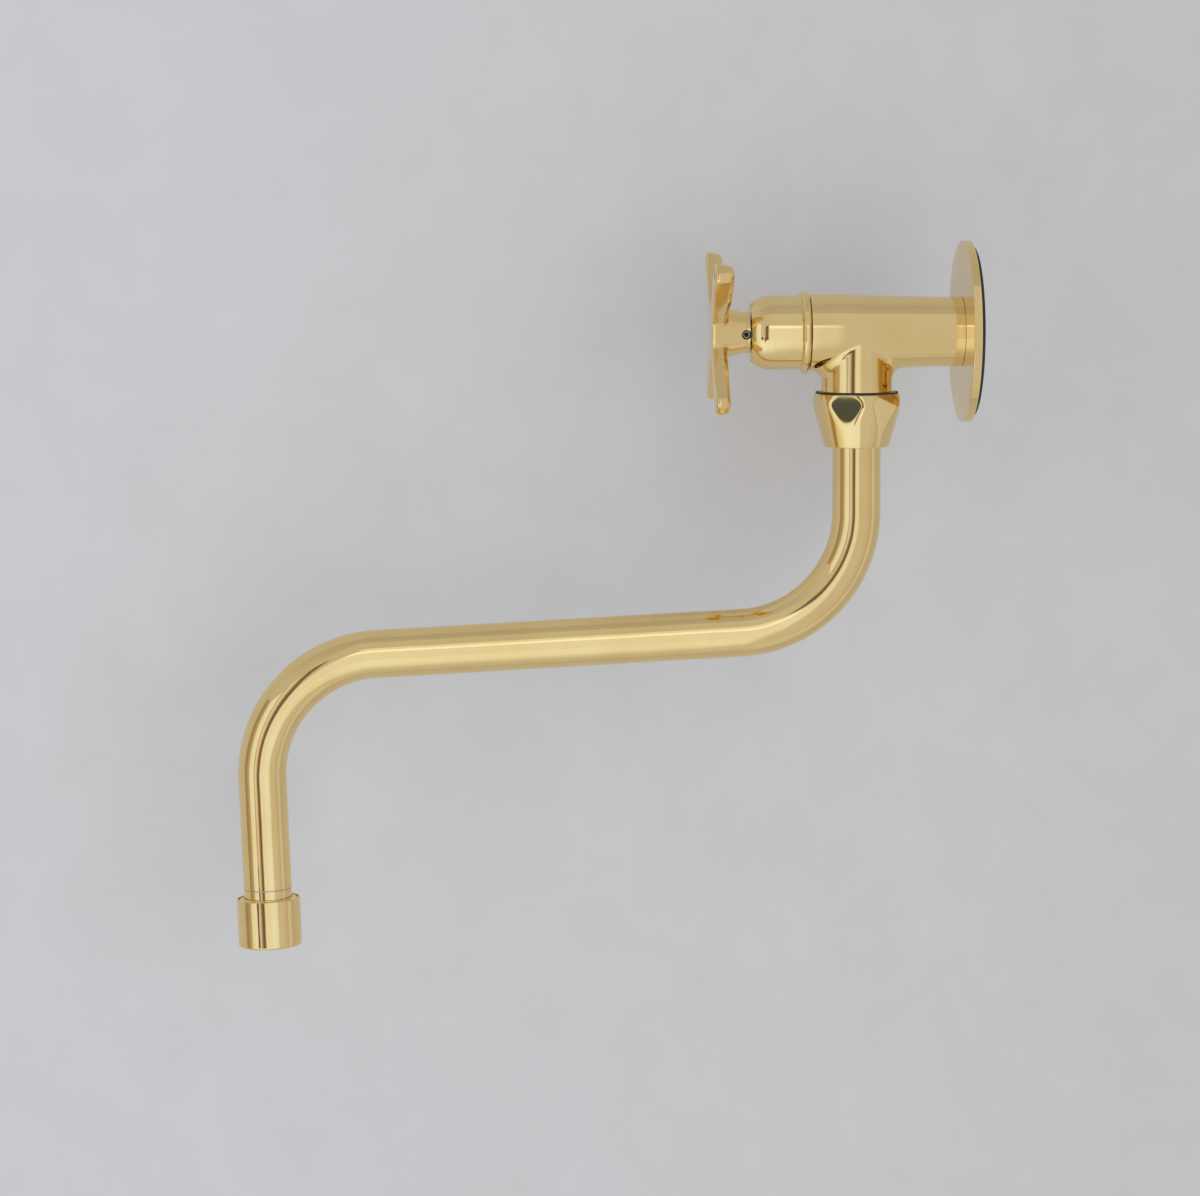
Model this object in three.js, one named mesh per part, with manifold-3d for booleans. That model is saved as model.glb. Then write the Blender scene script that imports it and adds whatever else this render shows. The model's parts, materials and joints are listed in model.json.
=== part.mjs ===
// Wall mounted pot filler: a brass tap that screws onto a pipe in the wall and carries
// a long swivelling S-bend spout over the hob.
// Millimetres, +Z up. The wall is the plane Y = 0 and the tap stands out of it along -Y.
// The origin is the centre of the threaded inlet socket, where the tap meets the wall.

import * as THREE from "three";
import { mergeVertices } from "three/addons/utils/BufferGeometryUtils.js";
import Module from "manifold-3d";

// ---- Driving dimensions ----
// Along the tap's axis every place is a distance out from the wall, and across it a radius.

const COARSEST = 16;
const COARSE = 20;
const FINE = 32;
const FINEST = 56;
const CLEARANCE = 0.3;

const GASKET = { radius: 31.5, thickness: 1.4, holeRadius: 11.2 };
const FLANGE = { radius: 33.75, thickness: 3, holeRadius: 10.8, edgeRadius: 0.5 };

const BODY = {
  // The barrel widens from its wall end to its mouth: [radius, place] of each change.
  taper: [
    [12.9, 4.5],
    [12.95, 10],
    [13.35, 27],
    [13.5, 33],
    [13.75, 43],
    [14.1, 49],
  ],
  middleRadius: 13.5,
  mouthRadius: 14.1,
  mouthAt: 61.4,
  inletRadius: 9.3,
  inletDepth: 18,
  waterwayRadius: 7,
  seatRadius: 5,
  seatAt: 33,
  chamberRadius: 10.8,
};

const BRANCH = {
  reach: 43.4,
  radius: 13.22,
  end: 30.5,
  socketRadius: 11,
  socketTop: 17.5,
  portRadius: 8,
  filletRadius: 5,
};

const INLET_WASHER = { radius: 9, holeRadius: 6, thickness: 1.5, end: 17.9 };

const SEAT_SEAL = { holeRadius: 5.2, footRadius: 7.6, topHoleRadius: 5.6, topRadius: 8.2, gap: 0.2 };

const CARTRIDGE = {
  inner: 36.2,
  skirtRadius: 8.6,
  boreRadius: 6.8,
  boreEnd: 45.6,
  threadFrom: 50,
  threadRadius: 10.4,
  flangeFrom: 61.6,
  flangeTo: 63.8,
  flangeRadius: 11.9,
  hexTo: 70,
  hexAcross: 19,
  outer: 76,
  neckRadius: 6.4,
  stemRadius: 4.2,
  chamfer: 1,
  windowFrom: 39.6,
  windowTo: 44.6,
  windowWidth: 7,
};

const DISC = {
  radius: 6.4,
  thickness: 2.6,
  fixedAt: 36.5,
  gap: 0.15,
  portInnerRadius: 1.4,
  portRadius: 5.2,
  portHalfAngle: 38,
};

const SPINDLE = {
  driverRadius: 6.2,
  driverThickness: 2.6,
  stemRadius: 3.85,
  grooveRadius: 3,
  grooveWidth: 1.9,
  grooves: [51, 56],
  clipAt: 76.6,
  clipThickness: 0.8,
  clipGrooveRadius: 3.1,
  clipOpening: 35,
  clipGap: 0.15,
  splineFrom: 79,
  splineTo: 94,
  splineTeeth: 20,
  splineDepth: 0.45,
  sideGap: 0.1,
  ringGap: 0.08,
};

const THRUST_WASHER = { from: 76.12, to: 76.5, radius: 6, holeRadius: 4.2 };

const BONNET = {
  beadRadius: 15.35,
  beadFrom: 61.7,
  beadTo: 64.8,
  radius: 13.75,
  shoulderFrom: 75.8,
  shoulderBulgeRadius: 6.75,
  shoulderLength: 9.2,
  front: 83.4,
  frontRadius: 10.6,
  frontChamfer: 0.4,
  skirtBoreRadius: 12.3,
  skirtBoreEnd: 64.2,
  boreRadius: 11.6,
  boreFrom: 64.8,
  boreTo: 75.3,
  boreEnd: 79,
  boreEndRadius: 8.6,
  stemHoleRadius: 4.5,
  stemHoleFrom: 80.5,
};

const HANDLE = {
  turn: 4,
  back: 83.7,
  // The hub widens from its collar to its front: [radius, place] of each change.
  hub: [
    [7.75, 83.7],
    [7.75, 84.9],
    [7.5, 85.2],
    [7.9, 87.1],
    [8.6, 89.7],
    [9.3, 92],
    [10.4, 97.8],
    [9.8, 98.4],
  ],
  armBack: 92,
  front: 98.4,
  armReach: 36.6,
  rootWidth: 7.4,
  tipWidth: 8.4,
  tipCorner: 3,
  crotchRadius: 2.4,
  edge: 0.9,
  boreRadius: 4.1,
  boreEnd: 95,
};

const GRUB = {
  at: 85.6,
  radius: 1.5,
  holeRadius: 1.7,
  from: 4.5,
  to: 7.3,
  chamfer: 0.25,
  socketAcross: 1.9,
  socketDepth: 1.4,
};

const NUT = {
  top: 22.75,
  bottom: 42.6,
  // The outside from the lip to the foot: [radius, depth] of each change.
  outside: [
    [15.4, 22.75],
    [15.9, 23.25],
    [16.25, 24.8],
    [16.3, 26],
    [16, 27.2],
    [12.25, 42],
    [11.55, 42.6],
  ],
  // Six wrench flats that come closer to the axis lower down.
  flatTopReach: 15.26,
  flatFootReach: 13.39,
  flatHeading: -21.4,
  threadRadius: 13.5,
  threadEnd: 31,
  collarRadius: 12.75,
  collarEnd: 34.9,
  holeRadius: 9.4,
};

const NUT_RING = { top: 22.1, bottom: 22.7, radius: 15.35, holeRadius: 13.5 };

const FERRULE = {
  top: 18.2,
  radius: 10.7,
  grooveRadius: 9.2,
  grooveWidth: 2.1,
  grooves: [20.5, 24],
  collarTop: 30.8,
  collarBottom: 33.3,
  collarRadius: 12.3,
  boreRadius: 7.5,
  socketRadius: 9.3,
  socketTop: 25.9,
  ringGap: 0.15,
};

const GLIDE_WASHER = { top: 33.5, bottom: 34.6, radius: 12.3, holeRadius: 9.6 };

const TUBE = { radius: 9, boreRadius: 8, top: 26.2, bendRadius: 45, sides: 20, steps: 40 };
const FIRST_CORNER = 110;
const OUTLET_REACH = 224;
const RUN_FALL = 2.8;
const OUTLET_LEAN = 2.05;

// Down the outlet leg every place is a distance from the spout's second corner.
const OUTLET = {
  tubeEnd: 85.4,
  sleeveTop: 85.7,
  shoulderAt: 90.2,
  sleeveEnd: 99.4,
  sleeveRadius: 10.8,
  sleeveBore: 7.9,
};
const HOUSING = {
  rim: 89.2,
  rimChamfer: 0.3,
  end: 107.2,
  edge: 0.9,
  radius: 11.9,
  boreRadius: 11.1,
  lipAt: 105.1,
  lipRadius: 10.1,
};
const AERATOR_WASHER = { top: 99.6, bottom: 101.1, radius: 10.8, holeRadius: 8.4 };
const AERATOR = {
  top: 101.3,
  flangeEnd: 104.7,
  flangeRadius: 10.7,
  end: 106.6,
  radius: 9.7,
  wall: 1.2,
  ribs: 3,
  ribWidth: 0.8,
  ribHeight: 1.6,
  ribAt: 105.6,
  seatTop: 103,
  seatBottom: 103.7,
  seatRadius: 8.8,
  seatHoleRadius: 7.7,
};
const STRAINER = { top: 102.2, thickness: 0.5, holePitch: 3.2, holeRadius: 1.15, rings: 2 };

const BRASS = { color: 0xd9b45a, roughness: 0.12, metalness: 1 };
const RAW_BRASS = { color: 0xb8934a, roughness: 0.35, metalness: 1 };
const BLACK_RUBBER = { color: 0x151515, roughness: 0.7, metalness: 0 };
const WHITE_CERAMIC = { color: 0xece8dc, roughness: 0.25, metalness: 0 };
const WHITE_PLASTIC = { color: 0xe6e4dd, roughness: 0.45, metalness: 0 };
const STEEL = { color: 0x8d8f92, roughness: 0.3, metalness: 1 };
const DARK_STEEL = { color: 0x2b2b2e, roughness: 0.4, metalness: 1 };
const RED_FIBRE = { color: 0x8c3a2c, roughness: 0.8, metalness: 0 };

// ---- Solid geometry ----

const wasm = await Module();
wasm.setup();

const degrees = THREE.MathUtils.degToRad;

// Welds the vertices, drops the empty triangles at a lathe's poles and faces the surface outwards.
function closed(geometry) {
  geometry.deleteAttribute("normal");
  geometry.deleteAttribute("uv");
  const welded = mergeVertices(geometry, 1e-4);
  const position = welded.attributes.position;
  const corner = [new THREE.Vector3(), new THREE.Vector3(), new THREE.Vector3()];
  const faces = [];
  let volume = 0;
  for (let i = 0; i < welded.index.count; i += 3) {
    const face = [0, 1, 2].map((k) => welded.index.getX(i + k));
    if (new Set(face).size < 3) continue;
    face.forEach((vertex, k) => corner[k].fromBufferAttribute(position, vertex));
    volume += corner[0].dot(corner[1].clone().cross(corner[2]));
    faces.push(face);
  }
  const ordered = volume < 0 ? faces.map(([a, b, c]) => [a, c, b]) : faces;
  welded.setIndex(ordered.flat());
  welded.computeVertexNormals();
  return welded;
}

function toSolid(geometry) {
  const mesh = closed(geometry);
  return new wasm.Manifold(
    new wasm.Mesh({
      numProp: 3,
      vertProperties: new Float32Array(mesh.attributes.position.array),
      triVerts: new Uint32Array(mesh.index.array),
    }),
  );
}

function toGeometry(solid) {
  const mesh = solid.getMesh();
  const geometry = new THREE.BufferGeometry();
  geometry.setAttribute("position", new THREE.BufferAttribute(mesh.vertProperties, 3));
  geometry.setIndex(new THREE.BufferAttribute(mesh.triVerts, 1));
  return closed(geometry);
}

function join(...geometries) {
  return toGeometry(geometries.map(toSolid).reduce((whole, next) => whole.add(next)));
}

function cut(geometry, ...tools) {
  return toGeometry(tools.map(toSolid).reduce((whole, tool) => whole.subtract(tool), toSolid(geometry)));
}

function common(geometry, envelope) {
  return toGeometry(toSolid(geometry).intersect(toSolid(envelope)));
}

// Turns [radius, distance from the wall] pairs about the tap's axis.
function turnOnAxis(profile, segments = FINE) {
  return closed(new THREE.LatheGeometry(profile.map(([r, s]) => new THREE.Vector2(r, -s)), segments));
}

// Turns [radius, distance down] pairs about a vertical axis.
function turnUpright(profile, segments = FINE) {
  const lathe = new THREE.LatheGeometry(profile.map(([r, down]) => new THREE.Vector2(r, -down)), segments);
  return closed(lathe.rotateX(Math.PI / 2));
}

// A plain ring's profile, closed on itself.
function ringProfile(outer, inner, from, to) {
  return [[inner, from], [outer, from], [outer, to], [inner, to], [inner, from]];
}

// Points of an arc in a profile, between two angles in degrees.
function arc(centreR, centreS, radiusR, radiusS, fromAngle, toAngle, steps) {
  return Array.from({ length: steps + 1 }, (_, i) => {
    const angle = degrees(fromAngle + ((toAngle - fromAngle) * i) / steps);
    return [centreR + radiusR * Math.cos(angle), centreS + radiusS * Math.sin(angle)];
  });
}

// An O-ring's round section, closed on itself.
function roundSection(centreR, centreS, radius) {
  return arc(centreR, centreS, radius, radius, 0, 360, 8);
}

// A straight rod along the tap's axis, used as stock or as a cutter.
function rodOnAxis(radius, from, to, segments = FINE) {
  return turnOnAxis([[0, from], [radius, from], [radius, to], [0, to]], segments);
}

function rodUpright(radius, from, to, segments = FINE) {
  return turnUpright([[0, from], [radius, from], [radius, to], [0, to]], segments);
}

// A flat outline in X and Z, extruded along the tap's axis.
function plateOnAxis(shape, from, to, options = {}) {
  const bevel = options.bevel ?? 0;
  const plate = new THREE.ExtrudeGeometry(shape, {
    depth: to - from - 2 * bevel,
    curveSegments: options.curveSegments ?? 6,
    bevelEnabled: bevel > 0,
    bevelThickness: bevel,
    bevelSize: bevel,
    bevelOffset: -bevel,
    bevelSegments: 2,
  });
  plate.rotateX(Math.PI / 2);
  return closed(plate.translate(0, -from - bevel, 0));
}

function regularPolygon(sides, across) {
  const radius = across / 2 / Math.cos(Math.PI / sides);
  const corners = Array.from({ length: sides }, (_, i) => {
    const angle = (2 * Math.PI * i) / sides;
    return new THREE.Vector2(radius * Math.cos(angle), radius * Math.sin(angle));
  });
  return new THREE.Shape(corners);
}

// ---- Wall side ----

function wallGasket() {
  return turnOnAxis(ringProfile(GASKET.radius, GASKET.holeRadius, 0, GASKET.thickness));
}

function wallFlange() {
  const back = GASKET.thickness;
  const front = back + FLANGE.thickness;
  const edge = FLANGE.edgeRadius;
  return turnOnAxis(
    [
      [FLANGE.holeRadius, back],
      [FLANGE.radius, back],
      ...arc(FLANGE.radius - edge, front - edge, edge, edge, 0, 90, 2),
      [FLANGE.holeRadius, front],
      [FLANGE.holeRadius, back],
    ],
    FINEST,
  );
}

function inletWasher() {
  const w = INLET_WASHER;
  return turnOnAxis(ringProfile(w.radius, w.holeRadius, w.end - w.thickness, w.end), COARSE);
}

// ---- Body ----

// The hollow corner between the body and its branch is rounded. On each slice across X the
// body's underside is level and the branch's side is upright, and an arc joins the two.
function branchFillet(side, bodyRadius) {
  const slices = 14;
  const lastSlice = 88;
  const arcSteps = 5;
  const inset = 2.5;
  const sunk = 0.08;
  const rings = [];
  for (let i = 0; i <= slices; i += 1) {
    const angle = degrees(lastSlice * ((2 * i) / slices - 1));
    const x = BRANCH.radius * Math.sin(angle);
    const shrink = Math.sqrt(Math.cos(angle));
    const radius = BRANCH.filletRadius * shrink;
    const under = -Math.sqrt(bodyRadius ** 2 - x ** 2) + sunk;
    const flank = BRANCH.radius * Math.cos(angle) - sunk;
    const ring = [[flank - inset * shrink, under + inset * shrink]];
    ring.push([flank + radius, under + inset * shrink]);
    for (let k = 0; k <= arcSteps; k += 1) {
      const turn = (Math.PI / 2) * (k / arcSteps);
      ring.push([flank + radius * (1 - Math.sin(turn)), under - radius * (1 - Math.cos(turn))]);
    }
    ring.push([flank - inset * shrink, under - radius]);
    rings.push(ring.map(([across, z]) => [x, -BRANCH.reach + side * across, z]));
  }
  return loft(rings);
}

// Skins a stack of equal rings of points and closes both ends with a fan.
function loft(rings) {
  const count = rings[0].length;
  const faces = [];
  for (let i = 0; i + 1 < rings.length; i += 1) {
    for (let k = 0; k < count; k += 1) {
      const next = (k + 1) % count;
      const [a, b] = [i * count + k, i * count + next];
      faces.push(a, b, b + count, a, b + count, a + count);
    }
  }
  const last = (rings.length - 1) * count;
  for (let k = 1; k + 1 < count; k += 1) {
    faces.push(0, k + 1, k);
    faces.push(last, last + k, last + k + 1);
  }
  const geometry = new THREE.BufferGeometry();
  geometry.setAttribute("position", new THREE.Float32BufferAttribute(rings.flat(2), 3));
  geometry.setIndex(faces);
  return closed(geometry);
}

function tapBody() {
  const barrel = turnOnAxis([
    [0, BODY.taper[0][1]],
    ...BODY.taper,
    [BODY.mouthRadius, BODY.mouthAt],
    [0, BODY.mouthAt],
  ]);
  const neck = rodUpright(BRANCH.radius, 3, BRANCH.end).translate(0, -BRANCH.reach, 0);
  const stock = join(barrel, neck, branchFillet(-1, BODY.mouthRadius), branchFillet(1, BODY.middleRadius));
  const inlet = rodOnAxis(BODY.inletRadius, -1, BODY.inletDepth);
  const waterway = rodOnAxis(BODY.waterwayRadius, BODY.inletDepth - 1, BODY.seatAt - 3, COARSE);
  const seat = rodOnAxis(BODY.seatRadius, BODY.inletDepth, BODY.seatAt + 1, COARSE);
  const chamber = rodOnAxis(BODY.chamberRadius, BODY.seatAt, BODY.mouthAt + 1);
  const port = rodUpright(BRANCH.portRadius, 2, BRANCH.socketTop + 1, COARSE);
  const socket = rodUpright(BRANCH.socketRadius, BRANCH.socketTop, BRANCH.end + 1);
  port.translate(0, -BRANCH.reach, 0);
  socket.translate(0, -BRANCH.reach, 0);
  return cut(stock, inlet, waterway, seat, chamber, port, socket);
}

// ---- Ceramic disc cartridge ----

function cartridgeBody() {
  const c = CARTRIDGE;
  const sleeve = turnOnAxis(
    [
      [c.boreRadius, c.inner],
      [c.skirtRadius, c.inner],
      [c.skirtRadius, c.threadFrom - c.chamfer],
      [c.threadRadius, c.threadFrom],
      [c.threadRadius, c.flangeFrom - 0.2],
      [c.flangeRadius, c.flangeFrom],
      [c.flangeRadius, c.flangeTo],
      [c.neckRadius, c.flangeTo],
      [c.neckRadius, c.outer],
      [c.stemRadius, c.outer],
      [c.stemRadius, c.boreEnd],
      [c.boreRadius, c.boreEnd],
      [c.boreRadius, c.inner],
    ],
    COARSE,
  );
  const hexagon = cut(
    plateOnAxis(regularPolygon(6, c.hexAcross), c.flangeTo - 0.5, c.hexTo),
    rodOnAxis(c.neckRadius - 1, c.flangeTo - 1, c.hexTo + 1, COARSE),
  );
  const window = new THREE.BoxGeometry(3 * c.skirtRadius, c.windowTo - c.windowFrom, c.windowWidth);
  window.translate(0, -(c.windowFrom + c.windowTo) / 2, 0);
  return cut(join(sleeve, hexagon), window);
}

function seatSeal() {
  const s = SEAT_SEAL;
  const from = BODY.seatAt + s.gap;
  const to = CARTRIDGE.inner - s.gap;
  return turnOnAxis(
    [
      [s.holeRadius, from],
      [s.footRadius, from],
      [s.topRadius, to],
      [s.topHoleRadius, to],
      [s.holeRadius, from],
    ],
    COARSE,
  );
}

// A ceramic disc with two facing ports, each a sector of the disc.
function ceramicDisc(from, portsUpright) {
  const half = degrees(DISC.portHalfAngle);
  const plate = new THREE.Shape().absarc(0, 0, DISC.radius, 0, 2 * Math.PI);
  for (const middle of portsUpright ? [Math.PI / 2, -Math.PI / 2] : [0, Math.PI]) {
    const port = new THREE.Path();
    const inner = DISC.portInnerRadius;
    port.moveTo(inner * Math.cos(middle - half), inner * Math.sin(middle - half));
    port.absarc(0, 0, DISC.portRadius, middle - half, middle + half);
    port.absarc(0, 0, inner, middle + half, middle - half, true);
    plate.holes.push(port);
  }
  return plateOnAxis(plate, from, from + DISC.thickness, { curveSegments: 7 });
}

function spindle() {
  const p = SPINDLE;
  const driverFrom = DISC.fixedAt + 2 * DISC.thickness + 2 * DISC.gap;
  const driverTo = driverFrom + p.driverThickness;
  const grooves = p.grooves.flatMap((at) => [
    [p.stemRadius, at - p.grooveWidth / 2],
    [p.grooveRadius, at - p.grooveWidth / 2],
    [p.grooveRadius, at + p.grooveWidth / 2],
    [p.stemRadius, at + p.grooveWidth / 2],
  ]);
  const clipFrom = p.clipAt - p.sideGap;
  const clipTo = p.clipAt + p.clipThickness + p.sideGap;
  const root = p.stemRadius - p.splineDepth;
  const stem = turnOnAxis(
    [
      [0, driverFrom],
      [p.driverRadius, driverFrom],
      [p.driverRadius, driverTo],
      [p.stemRadius, driverTo],
      ...grooves,
      [p.stemRadius, clipFrom],
      [p.clipGrooveRadius, clipFrom],
      [p.clipGrooveRadius, clipTo],
      [p.stemRadius, clipTo],
      [p.stemRadius, p.splineFrom],
      [root, p.splineFrom + 2 * p.sideGap],
      [root, p.splineTo],
      [0, p.splineTo],
    ],
    COARSE,
  );
  const teeth = Array.from({ length: 2 * p.splineTeeth }, (_, i) => {
    const radius = i % 2 ? root : p.stemRadius - p.sideGap;
    const angle = (Math.PI * i) / p.splineTeeth;
    return new THREE.Vector2(radius * Math.cos(angle), radius * Math.sin(angle));
  });
  return join(stem, plateOnAxis(new THREE.Shape(teeth), p.splineFrom + 0.5, p.splineTo - 0.4));
}

function spindleRing(at) {
  const section = (CARTRIDGE.stemRadius - SPINDLE.grooveRadius) / 2 - SPINDLE.ringGap;
  const middle = SPINDLE.grooveRadius + section + SPINDLE.ringGap / 2;
  return turnOnAxis(roundSection(middle, at, section), COARSE);
}

function spindleClip() {
  const opening = degrees(SPINDLE.clipOpening);
  const inner = SPINDLE.clipGrooveRadius + SPINDLE.clipGap;
  const outer = CARTRIDGE.neckRadius - 1;
  const clip = new THREE.Shape();
  clip.absarc(0, 0, outer, opening, 2 * Math.PI - opening);
  clip.absarc(0, 0, inner, 2 * Math.PI - opening, opening, true);
  return plateOnAxis(clip, SPINDLE.clipAt, SPINDLE.clipAt + SPINDLE.clipThickness, { curveSegments: 9 });
}

function thrustWasher() {
  const w = THRUST_WASHER;
  return turnOnAxis(ringProfile(w.radius, w.holeRadius, w.from, w.to), COARSE);
}

// ---- Bonnet ----

function bonnet() {
  const b = BONNET;
  const beadMiddle = (b.beadFrom + b.beadTo) / 2;
  const beadHalf = (b.beadTo - b.beadFrom) / 2;
  const bulge = b.radius - b.shoulderBulgeRadius;
  const shoulderEnd = THREE.MathUtils.radToDeg(Math.acos((b.frontRadius - b.shoulderBulgeRadius) / bulge));
  const shoulder = arc(b.shoulderBulgeRadius, b.shoulderFrom, bulge, b.shoulderLength, 0, shoulderEnd, 6);
  return turnOnAxis([
    [b.skirtBoreRadius, b.beadFrom],
    ...arc(b.radius, beadMiddle, b.beadRadius - b.radius, beadHalf, -90, 90, 6),
    ...shoulder,
    [b.frontRadius - b.frontChamfer, b.front],
    [b.stemHoleRadius, b.front],
    [b.stemHoleRadius, b.stemHoleFrom],
    [b.boreEndRadius, b.boreEnd],
    [b.boreRadius, b.boreTo],
    [b.boreRadius, b.boreFrom],
    [b.skirtBoreRadius, b.skirtBoreEnd],
    [b.skirtBoreRadius, b.beadFrom],
  ]);
}

// ---- Handle ----

// The cross's outline: each arm widens a little towards a rounded end, and a hollow
// corner joins it to the next arm.
function crossOutline() {
  const h = HANDLE;
  const cross = new THREE.Shape();
  const root = h.rootWidth / 2;
  const tip = h.tipWidth / 2;
  const bend = root + h.crotchRadius;
  for (let arm = 0; arm < 4; arm += 1) {
    const heading = Math.PI / 4 + (arm * Math.PI) / 2;
    const place = (along, across) =>
      new THREE.Vector2(along, across).rotateAround(new THREE.Vector2(), heading);
    const crotch = place(bend, -bend);
    const corners = [-1, 1].map((side) => place(h.armReach - h.tipCorner, side * (tip - h.tipCorner)));
    cross.absarc(crotch.x, crotch.y, h.crotchRadius, heading + Math.PI, heading + Math.PI / 2, true);
    cross.absarc(corners[0].x, corners[0].y, h.tipCorner, heading - Math.PI / 2, heading);
    cross.absarc(corners[1].x, corners[1].y, h.tipCorner, heading, heading + Math.PI / 2);
  }
  return cross;
}

function crossHandle() {
  const h = HANDLE;
  const hub = turnOnAxis([[0, h.back], ...h.hub, [0, h.front]]);
  const cross = plateOnAxis(crossOutline(), h.armBack, h.front, { bevel: h.edge, curveSegments: 4 });
  const bore = rodOnAxis(h.boreRadius, h.back - 1, h.boreEnd, COARSE);
  const screwHole = rodUpright(GRUB.holeRadius, 0, h.armReach, COARSEST);
  screwHole.rotateY(-Math.PI / 2).translate(0, -GRUB.at, 0);
  return cut(join(hub, cross), bore, screwHole);
}

// The grub screw lies across the hub, halfway between two arms, with its socket outwards.
function grubScrew() {
  const g = GRUB;
  const rod = turnUpright(
    [
      [0, -g.to],
      [g.radius - g.chamfer, -g.to],
      [g.radius, -g.to + g.chamfer],
      [g.radius, -g.from],
      [0, -g.from],
    ],
    COARSEST,
  );
  const socket = plateOnAxis(regularPolygon(6, g.socketAcross), 0, g.socketDepth + 1);
  socket.rotateX(-Math.PI / 2).translate(0, 0, g.to - g.socketDepth);
  const screw = cut(rod, socket);
  return screw.rotateY(Math.PI / 2).translate(0, -g.at, 0);
}

// ---- Spout union ----

// The nut is a turned cone that a hexagonal cone of wrench flats cuts into.
function unionNut() {
  const n = NUT;
  const corner = Math.cos(Math.PI / 6);
  const flats = new THREE.CylinderGeometry(
    n.flatTopReach / corner,
    n.flatFootReach / corner,
    n.bottom - n.top,
    6,
  );
  flats.rotateX(Math.PI / 2).rotateZ(degrees(n.flatHeading));
  flats.translate(0, 0, -(n.top + n.bottom) / 2);
  const cone = turnUpright([
    [n.threadRadius, n.top],
    ...n.outside,
    [n.holeRadius, n.bottom],
    [n.holeRadius, n.collarEnd],
    [n.collarRadius, n.collarEnd],
    [n.collarRadius, n.threadEnd],
    [n.threadRadius, n.threadEnd],
    [n.threadRadius, n.top],
  ]);
  return common(cone, flats);
}

function nutRing() {
  const r = NUT_RING;
  return turnUpright(ringProfile(r.radius, r.holeRadius, r.top, r.bottom));
}

function spoutFerrule() {
  const f = FERRULE;
  const grooves = f.grooves.flatMap((at) => [
    [f.radius, at - f.grooveWidth / 2],
    [f.grooveRadius, at - f.grooveWidth / 2],
    [f.grooveRadius, at + f.grooveWidth / 2],
    [f.radius, at + f.grooveWidth / 2],
  ]);
  return turnUpright(
    [
      [f.boreRadius, f.top],
      [f.radius, f.top],
      ...grooves,
      [f.radius, f.collarTop],
      [f.collarRadius, f.collarTop],
      [f.collarRadius, f.collarBottom],
      [f.socketRadius, f.collarBottom],
      [f.socketRadius, f.socketTop],
      [f.boreRadius, f.socketTop],
      [f.boreRadius, f.top],
    ],
    COARSE,
  );
}

function ferruleRing(at) {
  const section = (BRANCH.socketRadius - FERRULE.grooveRadius) / 2 - FERRULE.ringGap;
  const middle = FERRULE.grooveRadius + section + FERRULE.ringGap;
  return turnUpright(roundSection(middle, at, section), COARSE);
}

function glideWasher() {
  const g = GLIDE_WASHER;
  return turnUpright(ringProfile(g.radius, g.holeRadius, g.top, g.bottom));
}

// ---- Spout tube ----

// A path of straight legs joined by round bends.
class BentPath extends THREE.Curve {
  constructor(corners, bendRadius) {
    super();
    this.pieces = [];
    let start = corners[0];
    for (let i = 1; i + 1 < corners.length; i += 1) {
      const incoming = corners[i].clone().sub(corners[i - 1]).normalize();
      const outgoing = corners[i + 1].clone().sub(corners[i]).normalize();
      const turn = incoming.angleTo(outgoing);
      const setback = bendRadius * Math.tan(turn / 2);
      const bendStart = corners[i].clone().addScaledVector(incoming, -setback);
      const inward = outgoing.clone().addScaledVector(incoming, -outgoing.dot(incoming)).normalize();
      this.addLeg(start, bendStart);
      this.pieces.push({
        length: bendRadius * turn,
        at: (distance) => {
          const angle = distance / bendRadius;
          return bendStart
            .clone()
            .addScaledVector(incoming, bendRadius * Math.sin(angle))
            .addScaledVector(inward, bendRadius * (1 - Math.cos(angle)));
        },
      });
      start = corners[i].clone().addScaledVector(outgoing, setback);
    }
    this.addLeg(start, corners[corners.length - 1]);
    this.total = this.pieces.reduce((sum, piece) => sum + piece.length, 0);
  }

  addLeg(from, to) {
    const length = from.distanceTo(to);
    this.pieces.push({ length, at: (distance) => from.clone().lerp(to, distance / length) });
  }

  getPoint(t) {
    let distance = t * this.total;
    for (const piece of this.pieces) {
      if (distance <= piece.length) return piece.at(distance);
      distance -= piece.length;
    }
    const last = this.pieces[this.pieces.length - 1];
    return last.at(last.length);
  }
}

const secondCorner = new THREE.Vector3(
  0,
  -OUTLET_REACH,
  -FIRST_CORNER - OUTLET_REACH * Math.tan(degrees(RUN_FALL)),
);

// The spout's places are measured from the swivel axis.
function spoutTube() {
  const lean = degrees(OUTLET_LEAN);
  const end = secondCorner
    .clone()
    .add(new THREE.Vector3(0, Math.sin(lean), -Math.cos(lean)).multiplyScalar(OUTLET.tubeEnd));
  const start = new THREE.Vector3(0, 0, -TUBE.top);
  const firstCorner = new THREE.Vector3(0, 0, -FIRST_CORNER);
  const corners = [start, firstCorner, secondCorner, end];
  const section = new THREE.Shape().absarc(0, 0, TUBE.radius, 0, 2 * Math.PI);
  section.holes.push(new THREE.Path().absarc(0, 0, TUBE.boreRadius, 0, 2 * Math.PI, true));
  return closed(
    new THREE.ExtrudeGeometry(section, {
      curveSegments: TUBE.sides / 2,
      steps: TUBE.steps,
      extrudePath: new BentPath(corners, TUBE.bendRadius),
    }),
  );
}

// ---- Outlet ----

function outletSleeve() {
  const o = OUTLET;
  return turnUpright([
    [o.sleeveBore, o.sleeveTop],
    [TUBE.radius, o.sleeveTop],
    [TUBE.radius, o.shoulderAt],
    [o.sleeveRadius, o.shoulderAt],
    [o.sleeveRadius, o.sleeveEnd],
    [o.sleeveBore, o.sleeveEnd],
    [o.sleeveBore, o.sleeveTop],
  ]);
}

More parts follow.
